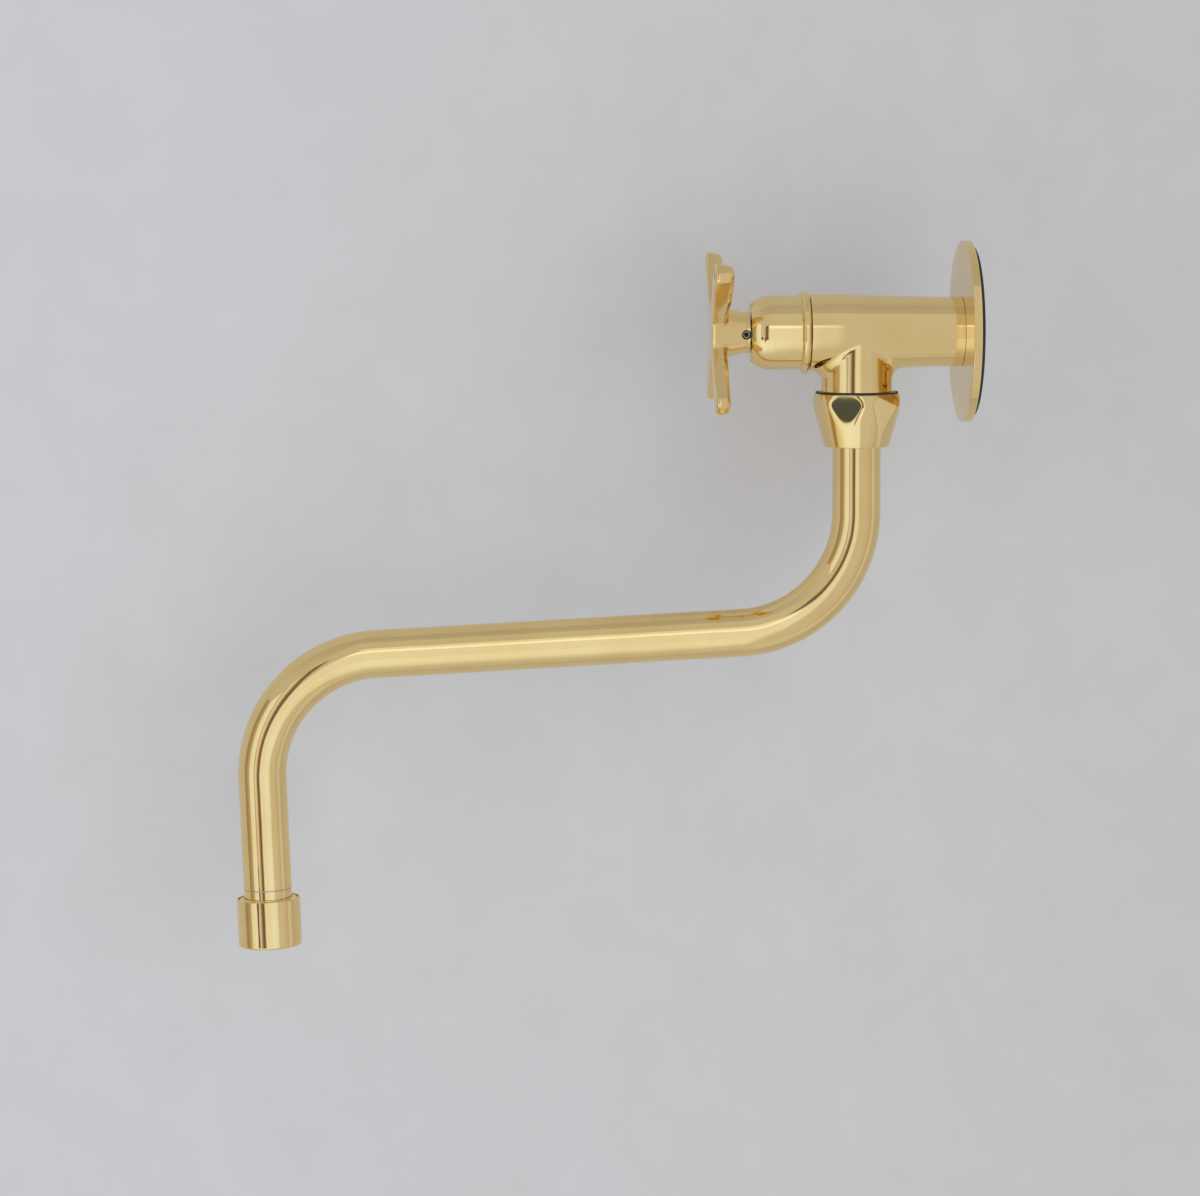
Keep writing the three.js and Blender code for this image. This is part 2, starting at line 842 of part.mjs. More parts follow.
function aeratorHousing() {
  const h = HOUSING;
  return turnUpright([
    [h.boreRadius, h.rim],
    [h.radius - h.rimChamfer, h.rim],
    [h.radius, h.rim + h.rimChamfer],
    ...arc(h.radius - h.edge, h.end - h.edge, h.edge, h.edge, 0, 90, 3),
    [h.lipRadius, h.end],
    [h.lipRadius, h.lipAt],
    [h.boreRadius, h.lipAt],
    [h.boreRadius, h.rim],
  ]);
}

function aeratorWasher() {
  const w = AERATOR_WASHER;
  return turnUpright(ringProfile(w.radius, w.holeRadius, w.top, w.bottom), COARSE);
}

// The insert is a cup without a floor, with a seat for the strainer and crossed ribs at its mouth.
function aeratorInsert() {
  const a = AERATOR;
  const cup = turnUpright(
    [
      [a.radius - a.wall, a.top],
      [a.flangeRadius, a.top],
      [a.flangeRadius, a.flangeEnd],
      [a.radius, a.flangeEnd],
      [a.radius, a.end],
      [a.radius - a.wall, a.end],
      [a.radius - a.wall, a.top],
    ],
    COARSE,
  );
  const ribs = Array.from({ length: a.ribs }, (_, i) => {
    const rib = new THREE.BoxGeometry(2 * a.radius - a.wall, a.ribWidth, a.ribHeight);
    rib.rotateZ((Math.PI * i) / a.ribs);
    return rib.translate(0, 0, -a.ribAt);
  });
  const seat = turnUpright(ringProfile(a.seatRadius, a.seatHoleRadius, a.seatTop, a.seatBottom), COARSE);
  return join(cup, seat, ...ribs);
}

// A sheet strainer with round holes on a triangular grid.
function strainer() {
  const s = STRAINER;
  const sheet = regularPolygon(COARSE, 2 * (AERATOR.radius - AERATOR.wall - CLEARANCE));
  for (let row = -s.rings; row <= s.rings; row += 1) {
    for (let column = -s.rings; column <= s.rings; column += 1) {
      if (Math.abs(row + column) > s.rings) continue;
      const x = (column + row / 2) * s.holePitch;
      const y = row * s.holePitch * Math.sin(Math.PI / 3);
      sheet.holes.push(new THREE.Path().absarc(x, y, s.holeRadius, 0, 2 * Math.PI, true));
    }
  }
  const options = { depth: s.thickness, curveSegments: 4, bevelEnabled: false };
  const plate = new THREE.ExtrudeGeometry(sheet, options);
  return closed(plate.translate(0, 0, -s.top - s.thickness));
}

// ---- Assembly ----

function piece(parent, name, geometry, finish) {
  const mesh = new THREE.Mesh(geometry, new THREE.MeshStandardMaterial(finish));
  mesh.name = name;
  parent.add(mesh);
}

const potFiller = new THREE.Group();

piece(potFiller, "wall_gasket", wallGasket(), BLACK_RUBBER);
piece(potFiller, "wall_flange", wallFlange(), BRASS);
piece(potFiller, "inlet_washer", inletWasher(), RED_FIBRE);
piece(potFiller, "tap_body", tapBody(), BRASS);
piece(potFiller, "seat_seal", seatSeal(), BLACK_RUBBER);
piece(potFiller, "fixed_ceramic_disc", ceramicDisc(DISC.fixedAt, true), WHITE_CERAMIC);
piece(potFiller, "cartridge_body", cartridgeBody(), RAW_BRASS);
piece(potFiller, "bonnet", bonnet(), BRASS);

// The handle at rest is turned a little from a true diagonal cross.
const handle = new THREE.Group();
handle.rotation.y = degrees(HANDLE.turn);
potFiller.add(handle);
const movingAt = DISC.fixedAt + DISC.thickness + DISC.gap;
piece(handle, "moving_ceramic_disc", ceramicDisc(movingAt, false), WHITE_CERAMIC);
piece(handle, "spindle", spindle(), RAW_BRASS);
SPINDLE.grooves.forEach((at, i) => piece(handle, `spindle_o_ring_${i + 1}`, spindleRing(at), BLACK_RUBBER));
piece(handle, "spindle_clip", spindleClip(), STEEL);
piece(handle, "thrust_washer", thrustWasher(), WHITE_PLASTIC);
piece(handle, "cross_handle", crossHandle(), BRASS);
piece(handle, "grub_screw", grubScrew(), DARK_STEEL);

const riser = new THREE.Group();
riser.position.y = -BRANCH.reach;
potFiller.add(riser);
piece(riser, "nut_top_ring", nutRing(), BLACK_RUBBER);
piece(riser, "union_nut", unionNut(), BRASS);
piece(riser, "glide_washer", glideWasher(), WHITE_PLASTIC);
piece(riser, "spout_ferrule", spoutFerrule(), RAW_BRASS);
FERRULE.grooves.forEach((at, i) => piece(riser, `spout_o_ring_${i + 1}`, ferruleRing(at), BLACK_RUBBER));
piece(riser, "spout_tube", spoutTube(), BRASS);

const outlet = new THREE.Group();
outlet.position.copy(secondCorner);
outlet.rotation.x = degrees(OUTLET_LEAN);
riser.add(outlet);
piece(outlet, "outlet_sleeve", outletSleeve(), BRASS);
piece(outlet, "aerator_housing", aeratorHousing(), BRASS);
piece(outlet, "aerator_washer", aeratorWasher(), BLACK_RUBBER);
piece(outlet, "aerator_insert", aeratorInsert(), WHITE_PLASTIC);
piece(outlet, "strainer", strainer(), STEEL);

export default potFiller;
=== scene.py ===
"""The looks of a wall mounted pot filler in polished brass.

Sizes are in millimetres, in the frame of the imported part: the wall is the plane Y = 0, the
tap stands out of it along -Y, and +Z is up. Places along the tap's axis are distances out
from the wall. Places down the riser are depths below that axis, and places down the outlet
are distances from the spout's second corner.
"""

import json
import math
from types import SimpleNamespace as Named

import bpy
import numpy as np
from mathutils import Matrix, Vector


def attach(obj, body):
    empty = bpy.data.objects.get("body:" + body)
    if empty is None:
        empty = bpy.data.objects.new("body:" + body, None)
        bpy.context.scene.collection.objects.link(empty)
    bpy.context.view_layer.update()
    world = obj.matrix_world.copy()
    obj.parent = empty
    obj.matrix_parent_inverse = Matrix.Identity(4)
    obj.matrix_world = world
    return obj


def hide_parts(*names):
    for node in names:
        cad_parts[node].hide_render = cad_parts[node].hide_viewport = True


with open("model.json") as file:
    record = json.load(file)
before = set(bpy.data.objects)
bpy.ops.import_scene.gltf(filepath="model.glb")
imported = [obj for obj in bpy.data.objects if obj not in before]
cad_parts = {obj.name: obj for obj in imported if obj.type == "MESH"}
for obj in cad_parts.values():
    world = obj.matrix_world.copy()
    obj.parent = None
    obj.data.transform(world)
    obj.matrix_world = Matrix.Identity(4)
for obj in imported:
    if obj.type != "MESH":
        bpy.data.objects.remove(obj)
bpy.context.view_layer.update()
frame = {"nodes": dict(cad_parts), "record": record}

MM = 0.001

# How finely round shapes are divided.
TURN_STEPS = 160
NUT_STEPS = 360
SMALL_STEPS = 60
LINE_STEPS = 96
BRANCH_STEPS = 288
NECK_ROWS = 12
BALL_ROWS = 13
MOUTH_ROWS = 30
BACK_ROWS = 60
THREAD_ROWS = 110
CORNER_STEPS = 6
ARC_STEPS = 24
BEND_STEPS = 72
STRAIGHT_STEPS = 12

# ---- Sizes along the tap's axis ----

GASKET = Named(back=0.0, front=1.4, hole=11.2, radius=31.5)
FLANGE = Named(back=1.4, front=4.4, hole=10.8, radius=33.75)
INLET_WASHER = Named(back=16.4, front=17.9, hole=6.0, radius=9.0)

BODY = Named(
    back=4.5, mouth=61.4, mouth_edge=0.15, mouth_bore=10.8, mouth_floor=50.0,
    # The barrel's radius at distances from the wall, and how far its corners are smoothed.
    places=(4.5, 10.0, 27.0, 33.0, 43.0, 49.0, 61.4),
    radii=(12.9, 12.95, 13.35, 13.5, 13.75, 14.1, 14.1),
    smoothing=4.0,
    # The neck of the branch below the barrel, with the radius of the corner round it.
    neck_radius=13.22, neck_end=30.5, neck_corner=4.5, branch_bore=11.0, branch_floor=17.5,
)

# The inlet's pipe thread, 14 turns to the inch, and the waterway behind it.
SOCKET = Named(
    mouth=10.6, crest=9.3, cut=1.1, pitch=1.814, flare=0.3, start=BODY.back + 1.0, end=16.0,
    floor=18.0, waterway=7.0, waterway_end=30.0,
)

BONNET = Named(
    back=61.7, bead_radius=15.35, bead_end=64.8, bead_edge=1.3, radius=13.75,
    # The shoulder is part of an ellipse that starts upright at this place.
    shoulder=75.8, shoulder_width=7.0, shoulder_depth=9.2, shoulder_turn=55.0,
    front=83.4, face_radius=10.3, hole=4.5,
    # The hollow inside: (radius, place) of each corner.
    hollow=((4.5, 80.5), (8.6, 79.0), (11.6, 75.3), (11.6, 64.8), (12.3, 64.2)),
)

HANDLE = Named(
    turn=math.radians(4.0),
    # The front face leans a little: its place at the axis and its slope along X and Z.
    front=98.05, lean_x=0.0165, lean_z=0.0145,
    arm_reach=36.6, half_width=3.8, widening=0.4, tip_corner=3.0,
    # The sides draw in behind the front, more and more: at what depth, and how fast.
    draft_from=3.0, draft=0.16, draft_growth=0.018,
    thickness=5.6,
    # How much thicker the two arms at -X are at their tips, the upper one first.
    far_swelling=(0.8, 0.4),
    # The upper arm at +X: its thickness at distances from the axis.
    near_places=(0, 12, 14, 19, 30),
    near_thickness=(5.6, 5.9, 6.2, 6.9, 7.5),
    back_edge=2.2, front_edge=0.45, tip_edge=1.95, tip_edge_from=27.0, tip_edge_to=35.0,
    # The hub's radius from its collar to where it ends in the arms.
    hub_places=(83.0, 84.75, 84.95, 87.0, 89.7, 92.5, 97.1, 99.0),
    hub_radii=(7.75, 7.75, 7.5, 7.9, 8.6, 9.2, 10.5, 10.5),
    hub_back=83.7, hub_corner=1.3, bore=4.1, bore_end=95.0,
)

# The hexagon socket screw in the hub; its depths are distances from the tap's axis.
SCREW = Named(
    at=85.25, hole=1.72, hole_floor=4.4, radius=1.42, back=4.5, face=7.05,
    socket=1.0, socket_floor=5.7, thread_radius=1.7, thread_back=5.0, thread_front=6.8,
)

# ---- Sizes down the riser ----

REACH = 43.4

NUT_RING = Named(top=22.1, bottom=22.7, hole=14.4, radius=15.35)

NUT = Named(
    lip_top=22.2, lip=14.35, top=22.75, top_radius=15.85,
    widest=16.75, widest_at=26.0, widest_edge=6.0, foot=42.6, foot_radius=11.95,
    hole=9.4, collar=12.75, collar_end=34.9, thread=13.5, thread_end=31.0,
    # The six wrench flats: the first one's heading, their distance from the axis at a depth,
    # how they come closer to it lower down, and how far their edges are rounded.
    flat_heading=math.radians(-21.4), flat_from=24.0, flat_reach=15.3,
    flat_slope=0.075, flat_bulge=0.0035, flat_edge=0.45,
)

TUBE = Named(
    top=26.2, radius=9.0, bore=8.0, edge=0.12, bend=45.0, first_corner=110.0,
    run_reach=224.0, run_fall=math.radians(2.8),
    # How far the outlet leans out of the vertical.
    outlet_lean=math.radians(2.05),
)
SECOND_CORNER = (
    0.0,
    -REACH - TUBE.run_reach,
    -TUBE.first_corner - TUBE.run_reach * math.tan(TUBE.run_fall),
)

# ---- Sizes down the outlet ----

JOINT = 85.4
SOLDER_LINE = Named(top=85.35, bottom=85.75, hole=8.2, radius=8.93)
SLEEVE = Named(top=85.7, bore=7.9, radius=9.0, shoulder=89.5, collar=10.85, bottom=99.4)
HOUSING = Named(
    top=89.2, bore=11.1, radius=11.9, bottom=107.2, bottom_edge=0.95, mouth=10.1, mouth_end=105.1
)

ON_AXIS = Matrix.Rotation(-math.pi / 2, 4, "X")
ON_RISER = Matrix.Translation((0, -REACH, 0))
ON_OUTLET = Matrix.Translation(SECOND_CORNER) @ Matrix.Rotation(TUBE.outlet_lean, 4, "X")
IN_PLACE = Matrix.Identity(4)


# ---- Meshes with exact normals ----


def unit(vectors):
    vectors = np.asarray(vectors, float)
    return vectors / np.maximum(np.linalg.norm(vectors, axis=-1, keepdims=True), 1e-12)


class Skin:
    """Grids of points, each with the surface's true normal, that become one welded mesh."""

    def __init__(self):
        self.points = []
        self.normals = []
        self.faces = []
        self.count = 0

    def add(self, points, normals, faces):
        self.points.append(np.asarray(points, float).reshape(-1, 3))
        self.normals.append(unit(np.asarray(normals, float).reshape(-1, 3)))
        self.faces.append(np.asarray(faces, int) + self.count)
        self.count += len(self.points[-1])

    def add_grid(self, points, normals, closed_rows=False):
        """Rows of points that each close on themselves; the last row may meet the first."""
        rows, columns = points.shape[:2]
        index = np.arange(rows * columns).reshape(rows, columns)
        upper = index if closed_rows else index[:-1]
        lower = np.roll(index, -1, axis=0)[: len(upper)]
        quads = np.stack([upper, np.roll(upper, -1, 1), np.roll(lower, -1, 1), lower], -1)
        self.add(points, normals, quads.reshape(-1, 4))

    def mesh(self, name, place):
        points = np.concatenate(self.points)
        normals = np.concatenate(self.normals)
        faces = np.concatenate(self.faces)
        # Each face is wound so that it looks the way its normals do.
        sides = points[faces]
        facing = np.cross(sides[:, 2] - sides[:, 0], sides[:, 3] - sides[:, 1])
        backward = (facing * normals[faces].sum(1)).sum(1) < 0
        faces[backward] = faces[backward][:, ::-1]
        _, first, weld = np.unique(
            np.round(points, 4), axis=0, return_index=True, return_inverse=True
        )
        weld = weld.reshape(-1)
        rotation = np.array(place.to_3x3())
        corners = points[first] @ rotation.T + np.array(place.translation)
        polygons = []
        loop_normals = []
        for quad in faces:
            kept = [k for k in range(4) if weld[quad[k]] != weld[quad[k - 1]]]
            if len({weld[quad[k]] for k in kept}) < 3:
                continue
            polygons.append([int(weld[quad[k]]) for k in kept])
            loop_normals.extend(normals[quad[k]] for k in kept)
        made = bpy.data.meshes.new(name)
        made.from_pydata((corners * MM).tolist(), [], polygons)
        made.polygons.foreach_set("use_smooth", [True] * len(polygons))
        made.normals_split_custom_set((np.array(loop_normals) @ rotation.T).tolist())
        made.update()
        return made


def add_piece(name, skin, place, finish, body, node=None):
    """Puts a skin into the scene as a piece that rides on a body and stands for a CAD node."""
    piece = bpy.data.objects.new(name, skin.mesh(name, place))
    piece.data.materials.append(FINISH[finish])
    bpy.context.scene.collection.objects.link(piece)
    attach(piece, body)
    if node:
        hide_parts(node)


# ---- Turned shapes ----


def arc_at(arc, degrees):
    """A point on an ellipse arc, and the direction along the arc."""
    centre_r, centre_s, half_r, half_s, first, last = arc
    angle = math.radians(degrees)
    way = math.copysign(1, last - first)
    point = [centre_r + half_r * math.cos(angle), centre_s + half_s * math.sin(angle)]
    direction = [-way * half_r * math.sin(angle), way * half_s * math.cos(angle)]
    return np.array(point), np.array(direction)


def bend_samples(before, corner, after, rounding, steps=CORNER_STEPS):
    """Points and directions round a corner between the points before and after it."""
    inward = unit(corner - before)
    outward = unit(after - corner)
    bend = math.acos(max(-1.0, min(1.0, float(inward @ outward))))
    if rounding == 0 or bend < 1e-6:
        return [(corner, inward), (corner, outward)]
    start = corner - inward * rounding * math.tan(bend / 2)
    side = unit(outward - inward * (outward @ inward))
    samples = []
    for angle in np.linspace(0, bend, steps + 1):
        step = inward * math.sin(angle) + side * (1 - math.cos(angle))
        samples.append((start + rounding * step, inward * math.cos(angle) + side * math.sin(angle)))
    return samples


def outline(*parts):
    """Samples a closed outline of corners and ellipse arcs.

    A corner is (radius, place, rounding). An arc is (centre radius, centre place, half width,
    half depth, first and last degrees). Gives the points and the directions along the outline.
    """
    firsts = [arc_at(p, p[4])[0] if len(p) == 6 else np.array(p[:2], float) for p in parts]
    lasts = [arc_at(p, p[5])[0] if len(p) == 6 else np.array(p[:2], float) for p in parts]
    samples = []
    for i, part in enumerate(parts):
        if len(part) == 6:
            samples += [arc_at(part, angle) for angle in np.linspace(*part[4:], ARC_STEPS + 1)]
        else:
            after = firsts[(i + 1) % len(parts)]
            samples += bend_samples(lasts[i - 1], firsts[i], after, rounding=part[2])
    points, directions = zip(*samples)
    return np.array(points), unit(directions)


def outline_normals(points, directions):
    """The outward normals of a closed outline, whichever way round it runs."""
    after = np.roll(points, -1, axis=0)
    area = np.sum(points[:, 0] * after[:, 1] - after[:, 0] * points[:, 1])
    return math.copysign(1, area) * np.stack([directions[:, 1], -directions[:, 0]], -1)


def refined(points, directions, longest=0.4):
    """Adds points along the straight parts of an outline."""
    filled, ways = [], []
    for i in range(len(points)):
        ahead = (i + 1) % len(points)
        span = points[ahead] - points[i]
        count = max(1, math.ceil(float(np.linalg.norm(span)) / longest))
        for share in np.arange(count) / count:
            filled.append(points[i] + share * span)
            ways.append(unit(directions[i] * (1 - share) + directions[ahead] * share))
    return np.array(filled), np.array(ways)


def turned(*parts, steps=TURN_STEPS, reshape=None):
    """A closed outline turned about the local Z axis, its places counted down along -Z.

    reshape(radius, place, angle, across, along) gives the radius of each point and its normal
    across, sideways and along the axis, for a shape that isn't quite round.
    """
    points, directions = outline(*parts)
    if reshape:
        points, directions = refined(points, directions)
    normals = outline_normals(points, directions)
    angle = np.linspace(0, 2 * math.pi, steps, endpoint=False)
    radius = np.repeat(points[:, :1], steps, 1)
    place = np.repeat(points[:, 1:], steps, 1)
    across = np.repeat(normals[:, :1], steps, 1)
    along = np.repeat(normals[:, 1:], steps, 1)
    sideways = np.zeros_like(radius)
    if reshape:
        radius, across, sideways, along = reshape(radius, place, angle, across, along)
    cos, sin = np.cos(angle), np.sin(angle)
    skin = Skin()
    skin.add_grid(
        np.stack([radius * cos, radius * sin, -place], -1),
        np.stack([across * cos - sideways * sin, across * sin + sideways * cos, -along], -1),
        closed_rows=True,
    )
    return skin


def ring(hole, radius, first, last, hole_edge, edge, last_edge=None, steps=TURN_STEPS):
    """A flat ring from one place to another, with rounded edges."""
    return turned(
        (hole, first, hole_edge),
        (radius, first, edge),
        (radius, last, edge if last_edge is None else last_edge),
        (hole, last, hole_edge),
        steps=steps,
    )


# ---- Materials ----


class Graph:
    """A material's or the world's nodes, added and wired by name."""

    def __init__(self, tree):
        self.tree = tree
        tree.nodes.clear()

    def node(self, kind, inputs=None, **settings):
        made = self.tree.nodes.new(kind)
        for name, value in settings.items():
            setattr(made, name, value)
        for name, value in (inputs or {}).items():
            self.feed(made.inputs[name], value)
        return made

    def feed(self, socket, value):
        if isinstance(value, bpy.types.NodeSocket):
            self.tree.links.new(value, socket)
        else:
            socket.default_value = value

    def object_place(self):
        return self.node("ShaderNodeTexCoord").outputs["Object"]

    def value(self, operation, *terms):
        made = self.node("ShaderNodeMath", operation=operation)
        for socket, term in zip(made.inputs, terms):
            self.feed(socket, term)
        return made.outputs[0]

    def noise(self, place, scale, detail=2.0, roughness=0.5):
        settings = {"Vector": place, "Scale": scale, "Detail": detail, "Roughness": roughness}
        return self.node("ShaderNodeTexNoise", settings).outputs["Fac"]

    def ramp(self, factor, stops):
        made = self.node("ShaderNodeValToRGB", {"Fac": factor})
        elements = made.color_ramp.elements
        while len(elements) < len(stops):
            elements.new(1.0)
        for element, (position, colour) in zip(elements, stops):
            element.position = position
            element.color = (*colour, 1.0)
        return made.outputs["Color"]

    def scaled(self, value, low, high, to_low=0.0, to_high=1.0):
        """Maps low to high onto another range."""
        limits = {"From Min": low, "From Max": high, "To Min": to_low, "To Max": to_high}
        return self.node("ShaderNodeMapRange", {"Value": value, **limits}).outputs[0]

    def step_up(self, value, low, high):
        """A soft step from 0 to 1."""
        inputs = {"Value": value, "From Min": low, "From Max": high}
        made = self.node("ShaderNodeMapRange", inputs, interpolation_type="SMOOTHSTEP")
        return made.outputs[0]

    def spread(self, noise, low, high):
        """Maps the middle of a noise onto low to high."""
        return self.scaled(noise, 0.3, 0.7, low, high)

    def tones(self, noise, deep, pale):
        return self.ramp(self.spread(noise, 0.0, 1.0), [(0, deep), (1, pale)])

    def mix(self, factor, first, second):
        """Blends two colours."""
        inputs = {0: factor, 6: first, 7: second}
        return self.node("ShaderNodeMix", inputs, data_type="RGBA").outputs[2]

    def mix_shaders(self, factor, first, second):
        inputs = {0: factor, 1: first.outputs[0], 2: second.outputs[0]}
        return self.node("ShaderNodeMixShader", inputs)

    def show(self, shader):
        self.node("ShaderNodeOutputMaterial", {"Surface": shader.outputs[0]})

    def show_uneven(self, colour, roughness, metallic, height, depth):
        """Shows a surface with unevenness of a height given by a pattern and a depth in metres."""
        bump = self.node("ShaderNodeBump", {"Height": height, "Distance": depth, "Strength": 1.0})
        inputs = {"Base Color": colour, "Roughness": roughness, "Metallic": metallic}
        inputs["Normal"] = bump.outputs[0]
        self.show(self.node("ShaderNodeBsdfPrincipled", inputs))


def new_material(name):
    material = bpy.data.materials.new(name)
    material.use_nodes = True
    return material, Graph(material.node_tree)


def brass(name, pale, deep, roughness, wave):
    """Brass whose tone drifts slowly, with the waves and fine unevenness of hand polishing."""
    material, graph = new_material(name)
    place = graph.object_place()
    drift = graph.noise(place, scale=55.0, detail=3.0)
    smear = graph.noise(place, scale=160.0, detail=5.0, roughness=0.6)
    slow = graph.noise(place, scale=70.0, detail=1.0)
    fine = graph.noise(place, scale=900.0)
    graph.show_uneven(
        colour=graph.tones(drift, deep, pale),
        roughness=graph.spread(smear, 0.75 * roughness, 1.35 * roughness),
        metallic=1.0,
        height=graph.value("ADD", slow, graph.value("MULTIPLY", fine, 0.012)),
        depth=wave,
    )
    return material


def plain(name, pale, deep, roughness, grain, depth, metallic):
    """A material with a fine grain in its colour, roughness and height."""
    material, graph = new_material(name)
    place = graph.object_place()
    speck = graph.noise(place, scale=grain, detail=4.0, roughness=0.65)
    graph.show_uneven(
        colour=graph.tones(speck, deep, pale),
        roughness=graph.spread(speck, 0.85 * roughness, 1.15 * roughness),
        metallic=metallic,
        height=speck,
        depth=depth,
    )
    return material


# Each brass's pale and deep tones, its roughness and the height of its waves in metres.
BRASSES = {
    "polished_brass": ((0.90, 0.68, 0.31), (0.86, 0.63, 0.27), 0.055, 0.00012),
    "turned_brass": ((0.70, 0.53, 0.26), (0.62, 0.46, 0.22), 0.28, 0.00006),
}
# Each other material's tones, its roughness, how fine and how high its grain is, and how much
# of a metal it is.
PLAIN_FINISHES = {
    "black_rubber": ((0.030, 0.029, 0.028), (0.018, 0.018, 0.018), 0.62, 1400.0, 0.00003, 0.0),
    "white_ceramic": ((0.84, 0.82, 0.77), (0.78, 0.76, 0.71), 0.2, 900.0, 0.00001, 0.0),
    "white_plastic": ((0.78, 0.77, 0.73), (0.70, 0.69, 0.65), 0.42, 700.0, 0.00002, 0.0),
    "spring_steel": ((0.60, 0.60, 0.60), (0.48, 0.48, 0.49), 0.24, 1100.0, 0.00001, 1.0),
    "dark_steel": ((0.50, 0.50, 0.48), (0.36, 0.36, 0.35), 0.3, 1300.0, 0.00001, 1.0),
    # This black is no finish of the steel: it is painted shade for the screw's socket and the gap
    # round it.
    "painted_shade_black": ((0.012, 0.011, 0.011), (0.005, 0.005, 0.005), 0.75, 1300.0, 0.00001, 0.0),
    "red_fibre": ((0.42, 0.15, 0.10), (0.26, 0.09, 0.07), 0.8, 600.0, 0.00008, 0.0),
    "solder_line": ((0.58, 0.44, 0.44), (0.46, 0.34, 0.35), 0.35, 900.0, 0.00002, 1.0),
}
FINISH = {name: brass(name, *look) for name, look in BRASSES.items()}
FINISH.update({name: plain(name, *look) for name, look in PLAIN_FINISHES.items()})


# ---- Wall side ----


def wall_flange():
    f = FLANGE
    skin = ring(f.hole, f.radius, f.back, f.front, hole_edge=0.2, edge=0.15, last_edge=0.35)
    add_piece("flange_disc", skin, ON_AXIS, "polished_brass", "tap", "wall_flange")


def wall_gasket():
    g = GASKET
    skin = ring(g.hole, g.radius, g.back, g.front, hole_edge=0.2, edge=0.3)
    add_piece("gasket_ring", skin, ON_AXIS, "black_rubber", "tap", "wall_gasket")


def inlet_washer():
    w = INLET_WASHER
    skin = ring(w.hole, w.radius, w.back, w.front, hole_edge=0.2, edge=0.25)
    add_piece("inlet_ring", skin, ON_AXIS, "red_fibre", "tap", "inlet_washer")


# ---- Body ----


def barrel_radius(place):
    """The barrel's radius, its taper's corners smoothed over a few millimetres."""
    b = BODY
    shifts = np.linspace(-b.smoothing, b.smoothing, 33)
    weights = 1 - np.abs(shifts) / (1.05 * b.smoothing)
    samples = [w * np.interp(place + d, b.places, b.radii) for d, w in zip(shifts, weights)]
    return sum(samples) / weights.sum()


def barrel_slope(place):
    step = 0.05
    return (barrel_radius(place + step) - barrel_radius(place - step)) / (2 * step)


def ring_points(radius, angle, place):
    """Points round the tap's axis, the angle counted from straight down towards +X."""
    radius, angle, place = np.broadcast_arrays(radius, angle, place)
    return np.stack([radius * np.sin(angle), -place, -radius * np.cos(angle)], -1)


def barrel_patch(place, angle):
    """Points on the barrel and their normals."""
    points = ring_points(barrel_radius(place), angle, place)
    normals = ring_points(1.0, angle, barrel_slope(place))
    return points, normals * np.array([1.0, -1.0, 1.0])


def end_rows(parts, angle, inward_first=False):
    """Rows that continue a ring of columns along an open outline.

    The outline's first corner only gives the direction in which it starts.
    """
    points, directions = outline(*parts)
    keep = slice(2, len(points) - 1)
    points, directions = points[keep], directions[keep]
    sign = -1.0 if inward_first else 1.0
    normals = sign * np.stack([directions[:, 1], -directions[:, 0]], -1)
    grid = ring_points(points[:, :1], angle, points[:, 1:])
    facing = ring_points(normals[:, :1], angle, normals[:, 1:])
    return grid, facing


def rolling_ball():
    """The ball that makes the corner between neck and barrel as it rolls round the neck.

    The angle round the neck is counted from the mouth's side towards +X, and contact is the
    angle round the barrel at which the ball touches it.
    """
    around = np.linspace(0, 2 * math.pi, BRANCH_STEPS, endpoint=False) - math.pi / 2
    reach = BODY.neck_radius + BODY.neck_corner
    place = REACH + reach * np.cos(around)
    x = reach * np.sin(around)
    z = -np.sqrt((barrel_radius(place) + BODY.neck_corner) ** 2 - x**2)
    outward = np.stack([np.sin(around), -np.cos(around), np.zeros_like(around)], -1)
    return Named(place=place, x=x, z=z, outward=outward, contact=np.arctan2(x, -z))


def add_branch_corner(skin, ball):
    """The rolled corner, in rows from the neck's side to the barrel's."""
    zero = np.zeros_like(ball.x)
    from_barrel = np.stack([np.sin(ball.contact), zero, -np.cos(ball.contact)], -1)
    between = np.arccos(np.clip((ball.outward * from_barrel).sum(-1), -1, 1))[:, None]
    centre = np.stack([ball.x, -ball.place, ball.z], -1)
    slope = np.stack([zero, barrel_slope(ball.place), zero], -1)
    rows, facings = [], []
    for share in np.linspace(0, 1, BALL_ROWS):
        neck_part = np.sin((1 - share) * between) * ball.outward
        barrel_part = np.sin(share * between) * from_barrel
        facing = (neck_part + barrel_part) / np.sin(between)
        rows.append(centre - BODY.neck_corner * facing)
        facings.append(facing + share**2 * (3 - 2 * share) * slope)
    skin.add_grid(np.array(rows), np.array(facings))


def add_neck(skin, ball):
    """The neck below its corner, its end face and the blind bore inside."""
    b = BODY
    down = np.array([0.0, 0.0, -1.0])

    def hoop(radius, depth):
        return np.array([0, -REACH, 0]) + radius * ball.outward + np.reshape(depth, (-1, 1)) * down

    depths = np.linspace(-ball.z, np.full_like(ball.z, b.neck_end), NECK_ROWS)
    wall = np.array([hoop(b.neck_radius, depth) for depth in depths])
    skin.add_grid(wall, np.array([ball.outward] * len(wall)))
    downward = np.zeros_like(ball.outward) + down
    end_face = (b.neck_radius, b.neck_end), (b.branch_bore, b.neck_end)
    bore = (b.branch_bore, b.neck_end), (b.branch_bore, b.branch_floor)
    floor = (b.branch_bore, b.branch_floor), (0.0, b.branch_floor)
    for ends, facing in ((end_face, downward), (bore, -ball.outward), (floor, downward)):
        skin.add_grid(np.array([hoop(*end) for end in ends]), np.array([facing, facing]))


